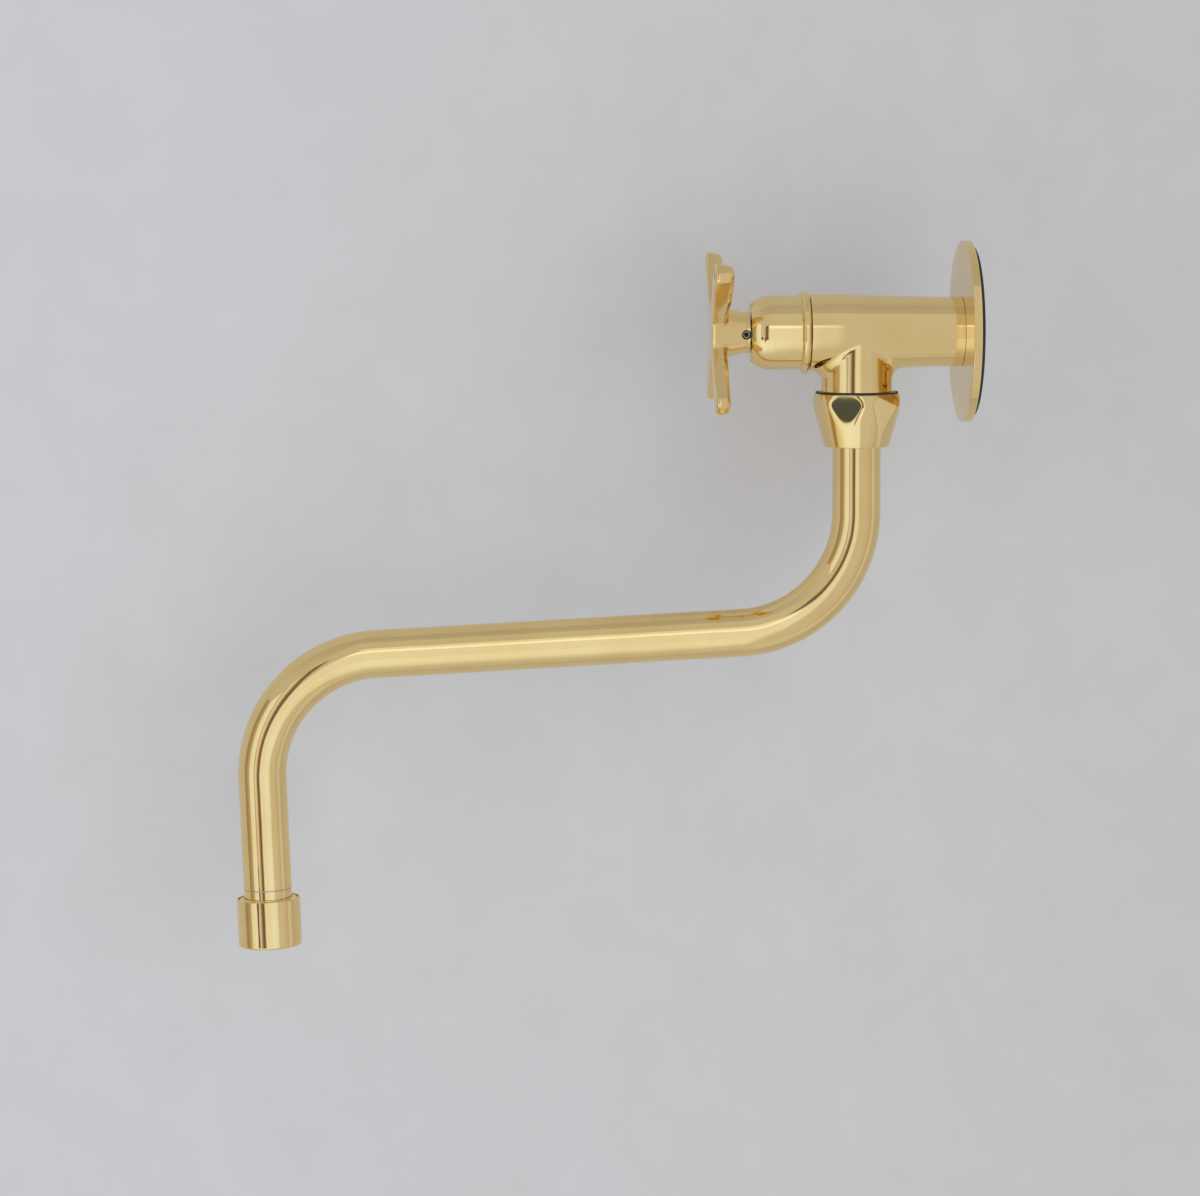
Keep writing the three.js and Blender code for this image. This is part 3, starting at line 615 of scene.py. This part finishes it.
def add_barrel(skin, ball):
    """The barrel on both sides of the neck, its ends and its bores.

    Each column runs along the barrel, and the columns under it stop at the rolled corner.
    """
    b = BODY
    half = BRANCH_STEPS // 2
    widest = ball.contact[half]
    over = np.linspace(widest, 2 * math.pi - widest, half + 1)[1:-1]
    over_place = np.full_like(over, REACH)

    columns = np.concatenate([ball.contact[: half + 1], over])
    start = np.concatenate([ball.place[: half + 1], over_place])
    places = np.linspace(start, np.full_like(start, b.mouth - b.mouth_edge), MOUTH_ROWS)
    skin.add_grid(*barrel_patch(places, columns))
    mouth_radius = b.radii[-1]
    mouth = [
        (mouth_radius, b.mouth - 1, 0), (mouth_radius, b.mouth, b.mouth_edge),
        (b.mouth_bore, b.mouth, 0.2), (b.mouth_bore, b.mouth_floor, 0), (0.0, b.mouth_floor, 0),
    ]
    skin.add_grid(*end_rows(mouth, columns))

    columns = np.concatenate([ball.contact[half:], ball.contact[:1], over[::-1]])
    end = np.concatenate([ball.place[half:], ball.place[:1], over_place])
    places = np.linspace(np.full_like(end, b.back), end, BACK_ROWS)
    skin.add_grid(*barrel_patch(places, columns))
    back_radius = b.radii[0]
    back = [
        (back_radius, b.back + 1, 0), (back_radius, b.back, 0),
        (SOCKET.mouth, b.back, 0.1), (SOCKET.crest + SOCKET.flare, SOCKET.start, 0),
    ]
    skin.add_grid(*end_rows(back, columns, inward_first=True))
    add_inlet_thread(skin, columns)


def thread_radius(place, angle):
    """The socket's radius: a thread that fades out at both ends, behind a flared mouth."""
    s = SOCKET
    phase = (place / s.pitch + angle / (2 * math.pi)) % 1.0
    wave = 1 - np.abs(2 * phase - 1)
    cut = s.cut * (3 * wave**2 - 2 * wave**3)
    fade_in = np.clip((place - s.start) / s.pitch, 0, 1)
    fade_out = np.clip((s.end - place) / s.pitch, 0, 1)
    flare = s.flare * np.clip(1 - (place - s.start), 0, 1)
    return s.crest + flare + cut * fade_out * fade_in


def add_inlet_thread(skin, columns):
    """The pipe thread in the inlet socket, and the blind waterway behind it."""
    s = SOCKET
    places = np.linspace(s.start, s.end, THREAD_ROWS)
    place, angle = np.meshgrid(places, columns, indexing="ij")
    step = 1e-3
    here = thread_radius(place, angle)
    along = (thread_radius(place + step, angle) - thread_radius(place - step, angle)) / (2 * step)
    around = (thread_radius(place, angle + step) - thread_radius(place, angle - step)) / (2 * step)
    inward = -ring_points(1.0, angle, 0.0)
    axial = np.zeros_like(inward) + np.array([0, -1.0, 0])
    tangent = np.stack([np.cos(angle), np.zeros_like(angle), np.sin(angle)], -1)
    normals = inward + along[..., None] * axial + (around / here)[..., None] * tangent
    skin.add_grid(ring_points(here, angle, place), normals)
    behind = [
        (s.crest, s.floor - 1, 0), (s.crest, s.floor, 0), (s.waterway, s.floor, 0.3),
        (s.waterway, s.waterway_end, 0), (0.0, s.waterway_end, 0),
    ]
    skin.add_grid(*end_rows(behind, columns))


def tap_body():
    skin = Skin()
    ball = rolling_ball()
    add_branch_corner(skin, ball)
    add_neck(skin, ball)
    add_barrel(skin, ball)
    add_piece("body_casting", skin, IN_PLACE, "polished_brass", "tap", "tap_body")


# ---- Bonnet ----


def bonnet():
    b = BONNET
    mouth, back = b.hollow[-1][0], b.back
    shoulder_middle = b.radius - b.shoulder_width
    skin = turned(
        (mouth, back, 0.15), (b.bead_radius, back, b.bead_edge),
        (b.bead_radius, b.bead_end, b.bead_edge), (b.radius, b.bead_end, 0.35),
        (shoulder_middle, b.shoulder, b.shoulder_width, b.shoulder_depth, 0.0, b.shoulder_turn),
        (b.face_radius, b.front, 0.35), (b.hole, b.front, 0.3),
        *[(*corner, 0) for corner in b.hollow],
    )
    add_piece("bonnet_cover", skin, ON_AXIS, "polished_brass", "tap", "bonnet")


# ---- Handle ----


def rounded_union(first, second, radius):
    return np.maximum(radius, np.minimum(first, second)) - np.hypot(
        np.maximum(radius - first, 0), np.maximum(radius - second, 0)
    )


def rounded_overlap(first, second, radius):
    return np.minimum(np.maximum(first, second), -radius) + np.hypot(
        np.maximum(first + radius, 0), np.maximum(second + radius, 0)
    )


def arm_thickness(along, x, z):
    """How thick the casting is along each of the four arms."""
    h = HANDLE
    swelling = np.interp(along, h.near_places, h.near_thickness)
    near = np.where(z > 0, swelling, h.thickness)
    far = h.thickness + np.where(z > 0, *h.far_swelling) * along / h.arm_reach
    return np.where(x > 0, near, far)


def handle_arms(x, z, behind):
    """Distance from the four arms, and how far along its arm each point is."""
    h = HANDLE
    lead = math.pi / 4 - h.turn
    first = np.abs(x * math.cos(lead) + z * math.sin(lead))
    second = np.abs(-x * math.sin(lead) + z * math.cos(lead))
    along, across = np.maximum(first, second), np.minimum(first, second)
    depth = behind - h.draft_from
    draft = h.draft * depth + h.draft_growth * depth**2
    half_width = h.half_width + h.widening * along / h.arm_reach - draft
    arm = rounded_overlap(along - h.arm_reach + 0.5 * draft, across - half_width, h.tip_corner)
    return rounded_overlap(arm, behind - arm_thickness(along, x, z), h.back_edge), along


def handle_field(points):
    """Distance from the handle's surface, negative inside it."""
    h = HANDLE
    x, place, z = points[..., 0], -points[..., 1], points[..., 2]
    behind = h.front + h.lean_x * x + h.lean_z * z - place
    arms, along = handle_arms(x, z, behind)
    radius = np.hypot(x, z)
    hub = 0.97 * (radius - np.interp(place, h.hub_places, h.hub_radii))
    hub = rounded_overlap(hub, h.hub_back - place, 0.2)
    to_tip = np.clip((along - h.tip_edge_from) / (h.tip_edge_to - h.tip_edge_from), 0, 1)
    edge = h.front_edge + (h.tip_edge - h.front_edge) * to_tip
    whole = rounded_overlap(rounded_union(arms, hub, h.hub_corner), -behind, edge)
    bore = np.maximum(radius - h.bore, place - h.bore_end)
    screw_x = x * math.cos(h.turn) - z * math.sin(h.turn)
    screw_z = x * math.sin(h.turn) + z * math.cos(h.turn)
    screw_hole = np.hypot(place - SCREW.at, screw_z) - SCREW.hole
    hole = np.maximum(screw_hole, SCREW.hole_floor - screw_x)
    return rounded_overlap(whole, -np.minimum(bore, hole), 0.12)


def neighbours(at, others):
    """The four cells round each grid edge, in order, the other two axes counted down."""
    shifts = np.zeros((4, 3), int)
    shifts[:, others] = ((0, 0), (-1, 0), (-1, -1), (0, -1))
    return at + shifts[:, None]


def net_skin(field, axes):
    """Skins the zero level of a distance field on a grid of boxes, drawn onto the true surface."""
    grid = np.stack(np.meshgrid(*axes, indexing="ij"), -1)
    value = field(grid)
    inside = value < 0
    shape = np.array(value.shape) - 1
    total = np.zeros((*shape, 3))
    count = np.zeros(shape)
    rings = []
    for axis in range(3):
        low = tuple(slice(None, -1) if k == axis else slice(None) for k in range(3))
        high = tuple(slice(1, None) if k == axis else slice(None) for k in range(3))
        crossing = inside[low] != inside[high]
        share = value[low][crossing] / (value[low][crossing] - value[high][crossing])
        point = grid[low][crossing] * (1 - share[:, None]) + grid[high][crossing] * share[:, None]
        cells = neighbours(np.argwhere(crossing), [k for k in range(3) if k != axis])
        within = [((cell >= 0) & (cell < shape)).all(1) for cell in cells]
        for cell, ok in zip(cells, within):
            np.add.at(total, tuple(cell[ok].T), point[ok])
            np.add.at(count, tuple(cell[ok].T), 1)
        whole = np.all(within, axis=0)
        rings.append([cell[whole] for cell in cells])
    used = count > 0
    number = np.full(shape, -1)
    number[used] = np.arange(used.sum())
    points = total[used] / count[used][:, None]
    faces = [np.stack([number[tuple(cell.T)] for cell in cells], -1) for cells in rings]
    step = 1e-3

    def gradient(at):
        shifts = np.eye(3) * step
        return np.stack([(field(at + d) - field(at - d)) / (2 * step) for d in shifts], -1)

    for _ in range(5):
        slope = gradient(points)
        steepness = np.maximum((slope**2).sum(-1), 0.05)
        points = points - (field(points) / steepness)[:, None] * slope
    skin = Skin()
    skin.add(points, gradient(points), np.concatenate(faces))
    return skin


def cross_handle():
    # The grid's places, closer together round the hub and near its collar.
    edge, hub, coarse, fine = 38.0, 9.9, 0.36, 0.24
    arms = np.arange(-edge, -hub, coarse), np.arange(hub, edge + coarse, coarse)
    wide = np.concatenate([arms[0], np.arange(-hub, hub, fine), arms[1]])
    deep = np.concatenate([np.arange(83.4, 88.0, 0.17), np.arange(88.0, 99.1, 0.3)])
    skin = net_skin(handle_field, (wide, -deep[::-1], wide))
    add_piece("handle_casting", skin, IN_PLACE, "polished_brass", "handle", "cross_handle")


def six_sided(radius, place, angle, across, along):
    """Makes what is inside a screw's rim a hexagon."""
    near = (angle + math.pi / 6) % (math.pi / 3) - math.pi / 6
    flat = radius * math.cos(math.pi / 6) / np.cos(near)
    in_socket = radius < SCREW.socket + 0.1
    return np.where(in_socket, flat, radius), across, np.zeros_like(radius), along


def grub_screw():
    """A hexagon socket screw that looks out of the hub's side, its socket and its thread black with
    painted shade.
    """
    s = SCREW
    screw = turned(
        (0.0, -s.socket_floor, 0), (s.socket, -s.socket_floor, 0), (s.socket, -s.face + 0.1, 0.05),
        (s.socket + 0.18, -s.face, 0.05), (s.radius, -s.face + 0.2, 0.1),
        (s.radius, -s.back, 0), (0.0, -s.back, 0),
        steps=SMALL_STEPS,
        reshape=six_sided,
    )
    # A black lining inside the hexagon socket: painted shade in the recess.
    socket_shade = turned(
        (0.0, -s.socket_floor + 0.1, 0), (s.socket - 0.01, -s.socket_floor + 0.1, 0),
        (s.socket - 0.01, -s.face + 0.2, 0.02), (0.0, -s.face + 0.35, 0),
        steps=SMALL_STEPS,
        reshape=six_sided,
    )
    # A black ring round the screw, down in the gap between screw and hole: painted shade in the gap.
    thread = turned(
        (s.radius + 0.02, -s.thread_front, 0.05), (s.thread_radius, -s.thread_front, 0.05),
        (s.thread_radius, -s.thread_back, 0), (s.radius + 0.02, -s.thread_back, 0),
        steps=SMALL_STEPS,
    )
    turn = Matrix.Rotation(HANDLE.turn, 4, "Y")
    place = turn @ Matrix.Translation((0, -s.at, 0)) @ Matrix.Rotation(math.pi / 2, 4, "Y")
    add_piece("screw_with_socket", screw, place, "dark_steel", "handle", "grub_screw")
    add_piece("socket_painted_shade", socket_shade, place, "painted_shade_black", "handle")
    add_piece("gap_painted_shade", thread, place, "painted_shade_black", "handle")


# ---- Union nut ----


def with_flats(radius, place, angle, across, along):
    """Cuts the six wrench flats, which lean in a little towards the nut's foot."""
    n = NUT
    near = (angle - n.flat_heading + math.pi / 6) % (math.pi / 3) - math.pi / 6
    down = place - n.flat_from
    lean = n.flat_slope + 2 * n.flat_bulge * down
    flat = (n.flat_reach - n.flat_slope * down - n.flat_bulge * down**2) / np.cos(near)
    share = np.clip(0.5 + 0.5 * (flat - radius) / n.flat_edge, 0, 1)
    reach = flat * (1 - share) + radius * share - n.flat_edge * share * (1 - share)
    outward = share * across + (1 - share) * np.cos(near)
    sideways = -(1 - share) * np.sin(near)
    downward = share * along + (1 - share) * lean
    facing = unit(np.stack([outward, sideways, downward], -1))
    return reach, facing[..., 0], facing[..., 1], facing[..., 2]


def union_nut():
    n = NUT
    skin = turned(
        (n.thread, n.lip_top, 0.12), (n.lip, n.lip_top, 0.12), (n.lip, n.top, 0),
        (n.top_radius, n.top, 0.5), (n.widest, n.widest_at, n.widest_edge),
        (n.foot_radius, n.foot, 0.45), (n.hole, n.foot, 0.2), (n.hole, n.collar_end, 0),
        (n.collar, n.collar_end, 0), (n.collar, n.thread_end, 0), (n.thread, n.thread_end, 0),
        steps=NUT_STEPS,
        reshape=with_flats,
    )
    add_piece("nut_shell", skin, ON_RISER, "polished_brass", "tap", "union_nut")


def nut_ring():
    r = NUT_RING
    skin = ring(r.hole, r.radius, r.top, r.bottom, hole_edge=0.1, edge=0.15)
    add_piece("nut_seal", skin, ON_RISER, "black_rubber", "tap", "nut_top_ring")


# ---- Spout ----


def spout_path():
    """Centres and directions, as (Y, Z), from the spout's top down to the joint line."""
    second = np.array(SECOND_CORNER[1:])
    drop = np.array([math.sin(TUBE.outlet_lean), -math.cos(TUBE.outlet_lean)])
    riser = np.array([[-REACH, -TUBE.top], [-REACH, -TUBE.first_corner]])
    corners = [*riser, second, second + JOINT * drop]
    samples = []
    here = corners[0]
    for three_corners in zip(corners, corners[1:], corners[2:]):
        bend = bend_samples(*three_corners, TUBE.bend, BEND_STEPS)
        start, inward = bend[0]
        for share in np.linspace(0, 1, STRAIGHT_STEPS, endpoint=False):
            samples.append((here * (1 - share) + start * share, inward))
        samples += bend[:-1]
        here = bend[-1][0]
    for share in np.linspace(0, 1, STRAIGHT_STEPS):
        samples.append((here * (1 - share) + corners[-1] * share, drop))
    places, ways = zip(*samples)
    return np.array(places), np.array(ways)


def spout_tube():
    """The bent tube, its lower end's edge rounded where it meets the sleeve."""
    t = TUBE
    places, ways = spout_path()
    angle = np.linspace(0, 2 * math.pi, TURN_STEPS, endpoint=False)[:, None]
    centre = np.pad(places, ((0, 0), (1, 0)))[:, None, :]
    along = np.pad(ways, ((0, 0), (1, 0)))[:, None, :]
    side = np.cross(along, [1.0, 0.0, 0.0])
    outward = np.array([1.0, 0.0, 0.0]) * np.cos(angle) + side * np.sin(angle)
    skin = Skin()
    skin.add_grid((centre + t.radius * outward)[:-1], outward[:-1])
    skin.add_grid(centre + t.bore * outward, -outward)
    for end, way, rim in ((0, -1.0, t.radius), (-1, 1.0, t.radius - t.edge)):
        rows = np.array([centre[end] + reach * outward[end] for reach in (rim, t.bore)])
        skin.add_grid(rows, np.broadcast_to(way * along[end], rows.shape))
    # The rounded edge, in rows that go on from the last whole row of the outside.
    rows, facings = [centre[-2] + t.radius * outward[-2]], [outward[-2]]
    rim = centre[-1] - t.edge * along[-1] + (t.radius - t.edge) * outward[-1]
    for turn in np.linspace(0, math.pi / 2, 5):
        facing = math.cos(turn) * outward[-1] + math.sin(turn) * along[-1]
        rows.append(rim + t.edge * facing)
        facings.append(facing)
    skin.add_grid(np.array(rows), np.array(facings))
    add_piece("spout_pipe", skin, IN_PLACE, "polished_brass", "spout", "spout_tube")


def outlet_sleeve():
    s = SLEEVE
    skin = turned(
        (s.bore, s.top, 0.1), (s.radius, s.top, 0.12), (s.radius, s.shoulder, 0.5),
        (s.collar, s.shoulder, 0.2), (s.collar, s.bottom, 0.1), (s.bore, s.bottom, 0.1),
    )
    add_piece("sleeve_end", skin, ON_OUTLET, "polished_brass", "spout", "outlet_sleeve")


def solder_line():
    s = SOLDER_LINE
    skin = ring(s.hole, s.radius, s.top, s.bottom, hole_edge=0, edge=0.05, steps=LINE_STEPS)
    add_piece("joint_line", skin, ON_OUTLET, "solder_line", "spout")


def aerator_housing():
    h = HOUSING
    skin = turned(
        (h.bore, h.top, 0.12), (h.radius, h.top, 0.2), (h.radius, h.bottom, h.bottom_edge),
        (h.mouth, h.bottom, 0.25), (h.mouth, h.mouth_end, 0.1), (h.bore, h.mouth_end, 0),
    )
    add_piece("housing_shell", skin, ON_OUTLET, "polished_brass", "spout", "aerator_housing")


# ---- Other CAD nodes keep their shape and get their finish ----


def finish_nodes():
    for part in frame["record"]["subparts"]:
        node = frame["nodes"][part["node"]]
        node.data.materials.clear()
        node.data.materials.append(FINISH[part["material_slot"]])


# ---- Camera ----

CAMERA = Named(
    lens=117.0, sensor=36.0, at=(1444.67, -217.66, 58.6),
    yaw=math.radians(3.1), pitch=math.radians(6.2), roll=math.radians(-0.2),
)


def make_camera():
    c = CAMERA
    data = bpy.data.cameras.new("camera")
    data.lens = c.lens
    data.sensor_width = c.sensor
    data.clip_start, data.clip_end = 0.01, 50.0
    camera = bpy.data.objects.new("camera", data)
    bpy.context.scene.collection.objects.link(camera)
    level_ahead = Vector((-math.cos(c.yaw), math.sin(c.yaw), 0))
    ahead = math.cos(c.pitch) * level_ahead - Vector((0, 0, math.sin(c.pitch)))
    level = Vector((math.sin(c.yaw), math.cos(c.yaw), 0))
    right = math.cos(c.roll) * level + math.sin(c.roll) * level.cross(ahead)
    upward = right.cross(ahead)
    turn = Matrix((right, upward, -ahead)).transposed().to_4x4()
    camera.matrix_world = Matrix.Translation(Vector(c.at) * MM) @ turn
    bpy.context.scene.camera = camera


# ---- Stage ----

# The backdrop: where it is along X, its tone far from the wall and its darker tone near it, which is
# painted shade, and the stretch of Y, in metres, over which the one fades into the other.
PAPER = Named(
    x=-80.0, half_size=4000.0, fade_from=-0.38, fade_to=0.1,
    far_tone=(0.740, 0.712, 0.672), near_tone=(0.622, 0.592, 0.552),
)

# The stretch of Y, in metres, over which the screens' tones run.
SCREEN_SPAN = (-0.2, 0.8)
SCREEN_TONES = ((0, (0.61, 0.63, 0.65)), (0.35, (0.66, 0.66, 0.69)), (1, (0.55, 0.53, 0.53)))
# The stretch of Y, in metres, over which the side screen fades in.
SCREEN_EDGE = (-0.04, 0.025)
# The height at which the side screen ends and the top screen begins.
SCREEN_TOP = 190.0
SIDE_SCREEN = Named(x=371.0, left=-40.0, right=1100.0, bottom=-900.0)
TOP_SCREEN = Named(x=450.0, left=-450.0, right=1100.0, top=800.0)
# The corners of the screen that hangs down, as (Y, Z), and a Y between it and the side screen.
HANGING_SCREEN = ((-372, -73), (-300, 26), (-290, 191), (-385, 191))
HANGING_BELOW = -250.0


def add_sheet(name, x, corners, material):
    """An upright sheet that isn't part of the object, its corners given as (Y, Z)."""
    mesh = bpy.data.meshes.new(name)
    points = [(x * MM, y * MM, z * MM) for y, z in corners]
    mesh.from_pydata(points, [], [tuple(range(len(corners)))])
    mesh.materials.append(material)
    sheet = bpy.data.objects.new(name, mesh)
    bpy.context.scene.collection.objects.link(sheet)


def rectangle(left, right, bottom, top):
    return [(left, bottom), (right, bottom), (right, top), (left, top)]


def make_backdrop():
    """A pale backdrop behind the tap, seen from its front only, with painted shade towards the wall.
    """
    material, graph = new_material("pale_paper")
    place = graph.object_place()
    fibres = graph.spread(graph.noise(place, scale=30.0, detail=6.0, roughness=0.62), 0.0, 0.25)
    along = graph.node("ShaderNodeSeparateXYZ", {"Vector": place}).outputs["Y"]
    # Painted shade: the paper darkens towards +Y, near the wall, and is palest out by the spout.
    painted_shade_fade = graph.scaled(along, PAPER.fade_from, PAPER.fade_to, to_high=0.75)
    stops = [(0, PAPER.far_tone), (1, PAPER.near_tone)]
    tone = graph.ramp(graph.value("ADD", painted_shade_fade, fibres), stops)
    paper = graph.node("ShaderNodeBsdfDiffuse", {"Color": tone})
    clear = graph.node("ShaderNodeBsdfTransparent")
    back = graph.node("ShaderNodeNewGeometry").outputs["Backfacing"]
    graph.show(graph.mix_shaders(back, paper, clear))
    half = PAPER.half_size
    add_sheet("backdrop", PAPER.x, rectangle(-half, half, -half, half), material)


def screen_material():
    """A dim glow that only reflections see, and that fades in along the side screen's edge."""
    material, graph = new_material("dim_screen")
    position = graph.node("ShaderNodeNewGeometry").outputs["Position"]
    split = graph.node("ShaderNodeSeparateXYZ", {"Vector": position})
    along, height = split.outputs["Y"], split.outputs["Z"]
    tone = graph.ramp(graph.scaled(along, *SCREEN_SPAN), SCREEN_TONES)
    faded = graph.step_up(along, *SCREEN_EDGE)
    on_top = graph.value("GREATER_THAN", height, SCREEN_TOP * MM)
    on_hanging = graph.value("LESS_THAN", along, HANGING_BELOW * MM)
    cover = graph.value("MAXIMUM", graph.value("MAXIMUM", faded, on_top), on_hanging)
    seen = graph.value("MULTIPLY", cover, graph.node("ShaderNodeLightPath").outputs["Is Glossy Ray"])
    shine = graph.node("ShaderNodeEmission", {"Color": tone, "Strength": 1.0})
    clear = graph.node("ShaderNodeBsdfTransparent")
    graph.show(graph.mix_shaders(seen, clear, shine))
    return material


def make_screens():
    """Dim screens in front of the tap that frame the bright room, seen in the metal only."""
    dim = screen_material()
    side, top = SIDE_SCREEN, TOP_SCREEN
    add_sheet("side_screen", side.x, rectangle(side.left, side.right, side.bottom, SCREEN_TOP), dim)
    add_sheet("top_screen", top.x, rectangle(top.left, top.right, SCREEN_TOP, top.top), dim)
    add_sheet("hanging_screen", top.x, HANGING_SCREEN, dim)


# ---- The room that the polished metal mirrors ----

# Its colours, in hundredths, at eye level, by the compass angle from +X towards +Y.
ROOM = (
    (-180, (50, 52, 54)), (-156, (56, 58, 62)), (-148, (66, 70, 76)),
    (-138, (95, 103, 116)), (-130, (90, 98, 110)), (-126, (60, 60, 62)),
    (-123, (92, 98, 105)), (-109, (95, 100, 105)), (-106, (52, 46, 40)),
    (-101, (62, 55, 46)), (-97, (42, 34, 25)), (-91, (40, 33, 25)),
    (-85, (36, 30, 24)), (-79, (38, 33, 27)), (-71, (50, 44, 36)),
    (-66, (55, 52, 48)), (-62, (88, 94, 102)), (-55, (86, 94, 106)),
    (-47, (93, 103, 122)), (-42, (86, 94, 110)), (-40, (50, 50, 55)),
    (-38, (46, 46, 52)), (-36, (82, 84, 90)), (-31, (84, 82, 88)),
    (-28, (66, 55, 56)), (-25, (56, 44, 44)), (-22, (20, 17, 15)),
    (-15, (13, 12, 12)), (-12, (60, 60, 66)), (-9, (90, 96, 108)),
    (0, (86, 93, 104)), (20, (92, 104, 125)), (35, (84, 93, 110)),
    (55, (73, 77, 86)), (90, (64, 65, 70)), (140, (54, 56, 60)),
    (180, (50, 52, 54)),
)
# The same well below eye level.
LOW_ROOM = (
    (-180, (50, 52, 54)), (-140, (60, 62, 62)), (-134, (50, 48, 46)),
    (-128, (22, 18, 15)), (-108, (18, 15, 11)), (-102, (56, 48, 33)),
    (-97, (60, 48, 32)), (-91, (28, 20, 11)), (-84, (38, 30, 17)),
    (-76, (76, 70, 50)), (-62, (86, 86, 72)), (-52, (92, 100, 105)),
    (-40, (100, 110, 125)), (-20, (95, 106, 128)), (0, (94, 102, 115)),
    (30, (84, 90, 102)), (90, (62, 63, 66)), (180, (50, 52, 54)),
)
GROUND = (60, 62, 64)
# How bright the ceiling is, by the angle above the horizon.
CEILING = ((10, (60, 61, 63)), (35, (60, 61, 63)), (55, (52, 53, 55)), (90, (46, 47, 50)))
# The angle above the horizon at which the ceiling begins, by the compass angle.
CEILING_EDGE = (
    (-180, 25), (-120, 26), (-103, 29), (-57, 24), (-40, 23),
    (-20, 27), (-8, 34), (40, 40), (100, 20), (180, 15),
)
# Angles above the horizon between which the low room gives way to the room at eye level, and
# the ground to the low room.
LOW_EDGE = (-23.0, -20.0)
GROUND_EDGE = (-80.0, -40.0)
# Oval patches on the walls: (compass angle, angle above the horizon, half width, half height,
# colour).
PATCHES = (
    (-102.0, -14.0, 7.0, 6.0, (24.0, 17.5, 12.5)),
    (-37.0, -15.2, 4.7, 4.1, (8.0, 10.5, 12.5)),
    (-25.5, -20.0, 3.6, 8.3, (42, 17, 13)),
    (3.0, 19.5, 14.0, 5.0, (118, 127, 136)),
)
# A ramp's colours stay below 1, so they are divided by this and made up for in the strength.
BRIGHTEST = 1.4
RAMP_LIMIT = 32
# What the camera sees where no backdrop is.
PLAIN_GREY = (0.53, 0.535, 0.54, 1.0)


def dimmed(colour):
    return [channel / 100 / BRIGHTEST for channel in colour]


def compass_ramp(graph, compass, stops):
    """Colours round the compass. A list that is too long for one ramp goes on two of them."""
    placed = [((angle + 180) / 360, dimmed(colour)) for angle, colour in stops]
    if len(placed) <= RAMP_LIMIT:
        return graph.ramp(compass, placed)
    half = len(placed) // 2
    first = graph.ramp(compass, placed[: half + 1])
    second = graph.ramp(compass, placed[half:])
    return graph.mix(graph.value("GREATER_THAN", compass, placed[half][0]), first, second)


def add_patch(graph, room, compass, height, patch):
    """Lays a soft-edged oval patch over the room."""
    middle, level, half_wide, half_high, colour = patch
    across = graph.value("MULTIPLY_ADD", compass, 360 / half_wide, -(middle + 180) / half_wide)
    upward = graph.value("MULTIPLY_ADD", height, 1 / half_high, -level / half_high)
    squares = [graph.value("MULTIPLY", term, term) for term in (across, upward)]
    outside = graph.step_up(graph.value("ADD", *squares), 0.8, 1.2)
    return graph.mix(outside, dimmed(colour) + [1.0], room)


def make_room():
    """A still room for the metal to mirror: walls and windows at eye level under a dim ceiling."""
    world = bpy.data.worlds.new("room")
    bpy.context.scene.world = world
    world.use_nodes = True
    graph = Graph(world.node_tree)
    way = graph.node("ShaderNodeTexCoord").outputs["Generated"]
    split = graph.node("ShaderNodeSeparateXYZ", {"Vector": way})
    angle = graph.value("ARCTAN2", split.outputs["Y"], split.outputs["X"])
    compass = graph.value("MULTIPLY_ADD", angle, 0.5 / math.pi, 0.5)
    height = graph.value("MULTIPLY", graph.value("ARCSINE", split.outputs["Z"]), 180 / math.pi)

    low_room = compass_ramp(graph, compass, LOW_ROOM)
    above_ground = graph.step_up(height, *GROUND_EDGE)
    low_room = graph.mix(above_ground, dimmed(GROUND) + [1.0], low_room)
    room = graph.mix(graph.step_up(height, *LOW_EDGE), low_room, compass_ramp(graph, compass, ROOM))
    for patch in PATCHES:
        room = add_patch(graph, room, compass, height, patch)

    stops = [(level / 90, dimmed(colour)) for level, colour in CEILING]
    ceiling = graph.ramp(graph.value("DIVIDE", height, 90.0), stops)
    edges = [((a + 180) / 360, [level / 90] * 3) for a, level in CEILING_EDGE]
    edge = graph.value("MULTIPLY", graph.ramp(compass, edges), 90.0)
    above = graph.step_up(graph.value("SUBTRACT", height, edge), -0.6, 0.6)
    seen = graph.mix(above, room, ceiling)

    mirrored = graph.node("ShaderNodeBackground", {"Color": seen, "Strength": BRIGHTEST})
    grey = graph.node("ShaderNodeBackground", {"Color": PLAIN_GREY, "Strength": 1.0})
    by_camera = graph.node("ShaderNodeLightPath").outputs["Is Camera Ray"]
    shader = graph.mix_shaders(by_camera, mirrored, grey)
    graph.node("ShaderNodeOutputWorld", {"Surface": shader.outputs[0]})


# ---- Lamp ----

# In metres and watts.
LAMP = Named(at=(1.1, 0.25, -0.15), towards=(0, -0.15, -0.1), width=0.9, height=0.7, power=1.6)


def make_lamp():
    """One large soft lamp that models the backdrop's light and shadow."""
    data = bpy.data.lights.new("soft_lamp", "AREA")
    data.shape = "RECTANGLE"
    data.size, data.size_y = LAMP.width, LAMP.height
    data.energy = LAMP.power
    lamp = bpy.data.objects.new("soft_lamp", data)
    bpy.context.scene.collection.objects.link(lamp)
    lamp.location = LAMP.at
    aim = Vector(LAMP.towards) - lamp.location
    lamp.rotation_euler = aim.to_track_quat("-Z", "Y").to_euler()
    lamp.visible_glossy = False


make_camera()
make_backdrop()
make_screens()
make_room()
make_lamp()
finish_nodes()
wall_flange()
wall_gasket()
inlet_washer()
tap_body()
bonnet()
cross_handle()
grub_screw()
union_nut()
nut_ring()
spout_tube()
outlet_sleeve()
solder_line()
aerator_housing()

bpy.context.scene.view_settings.view_transform = "Standard"
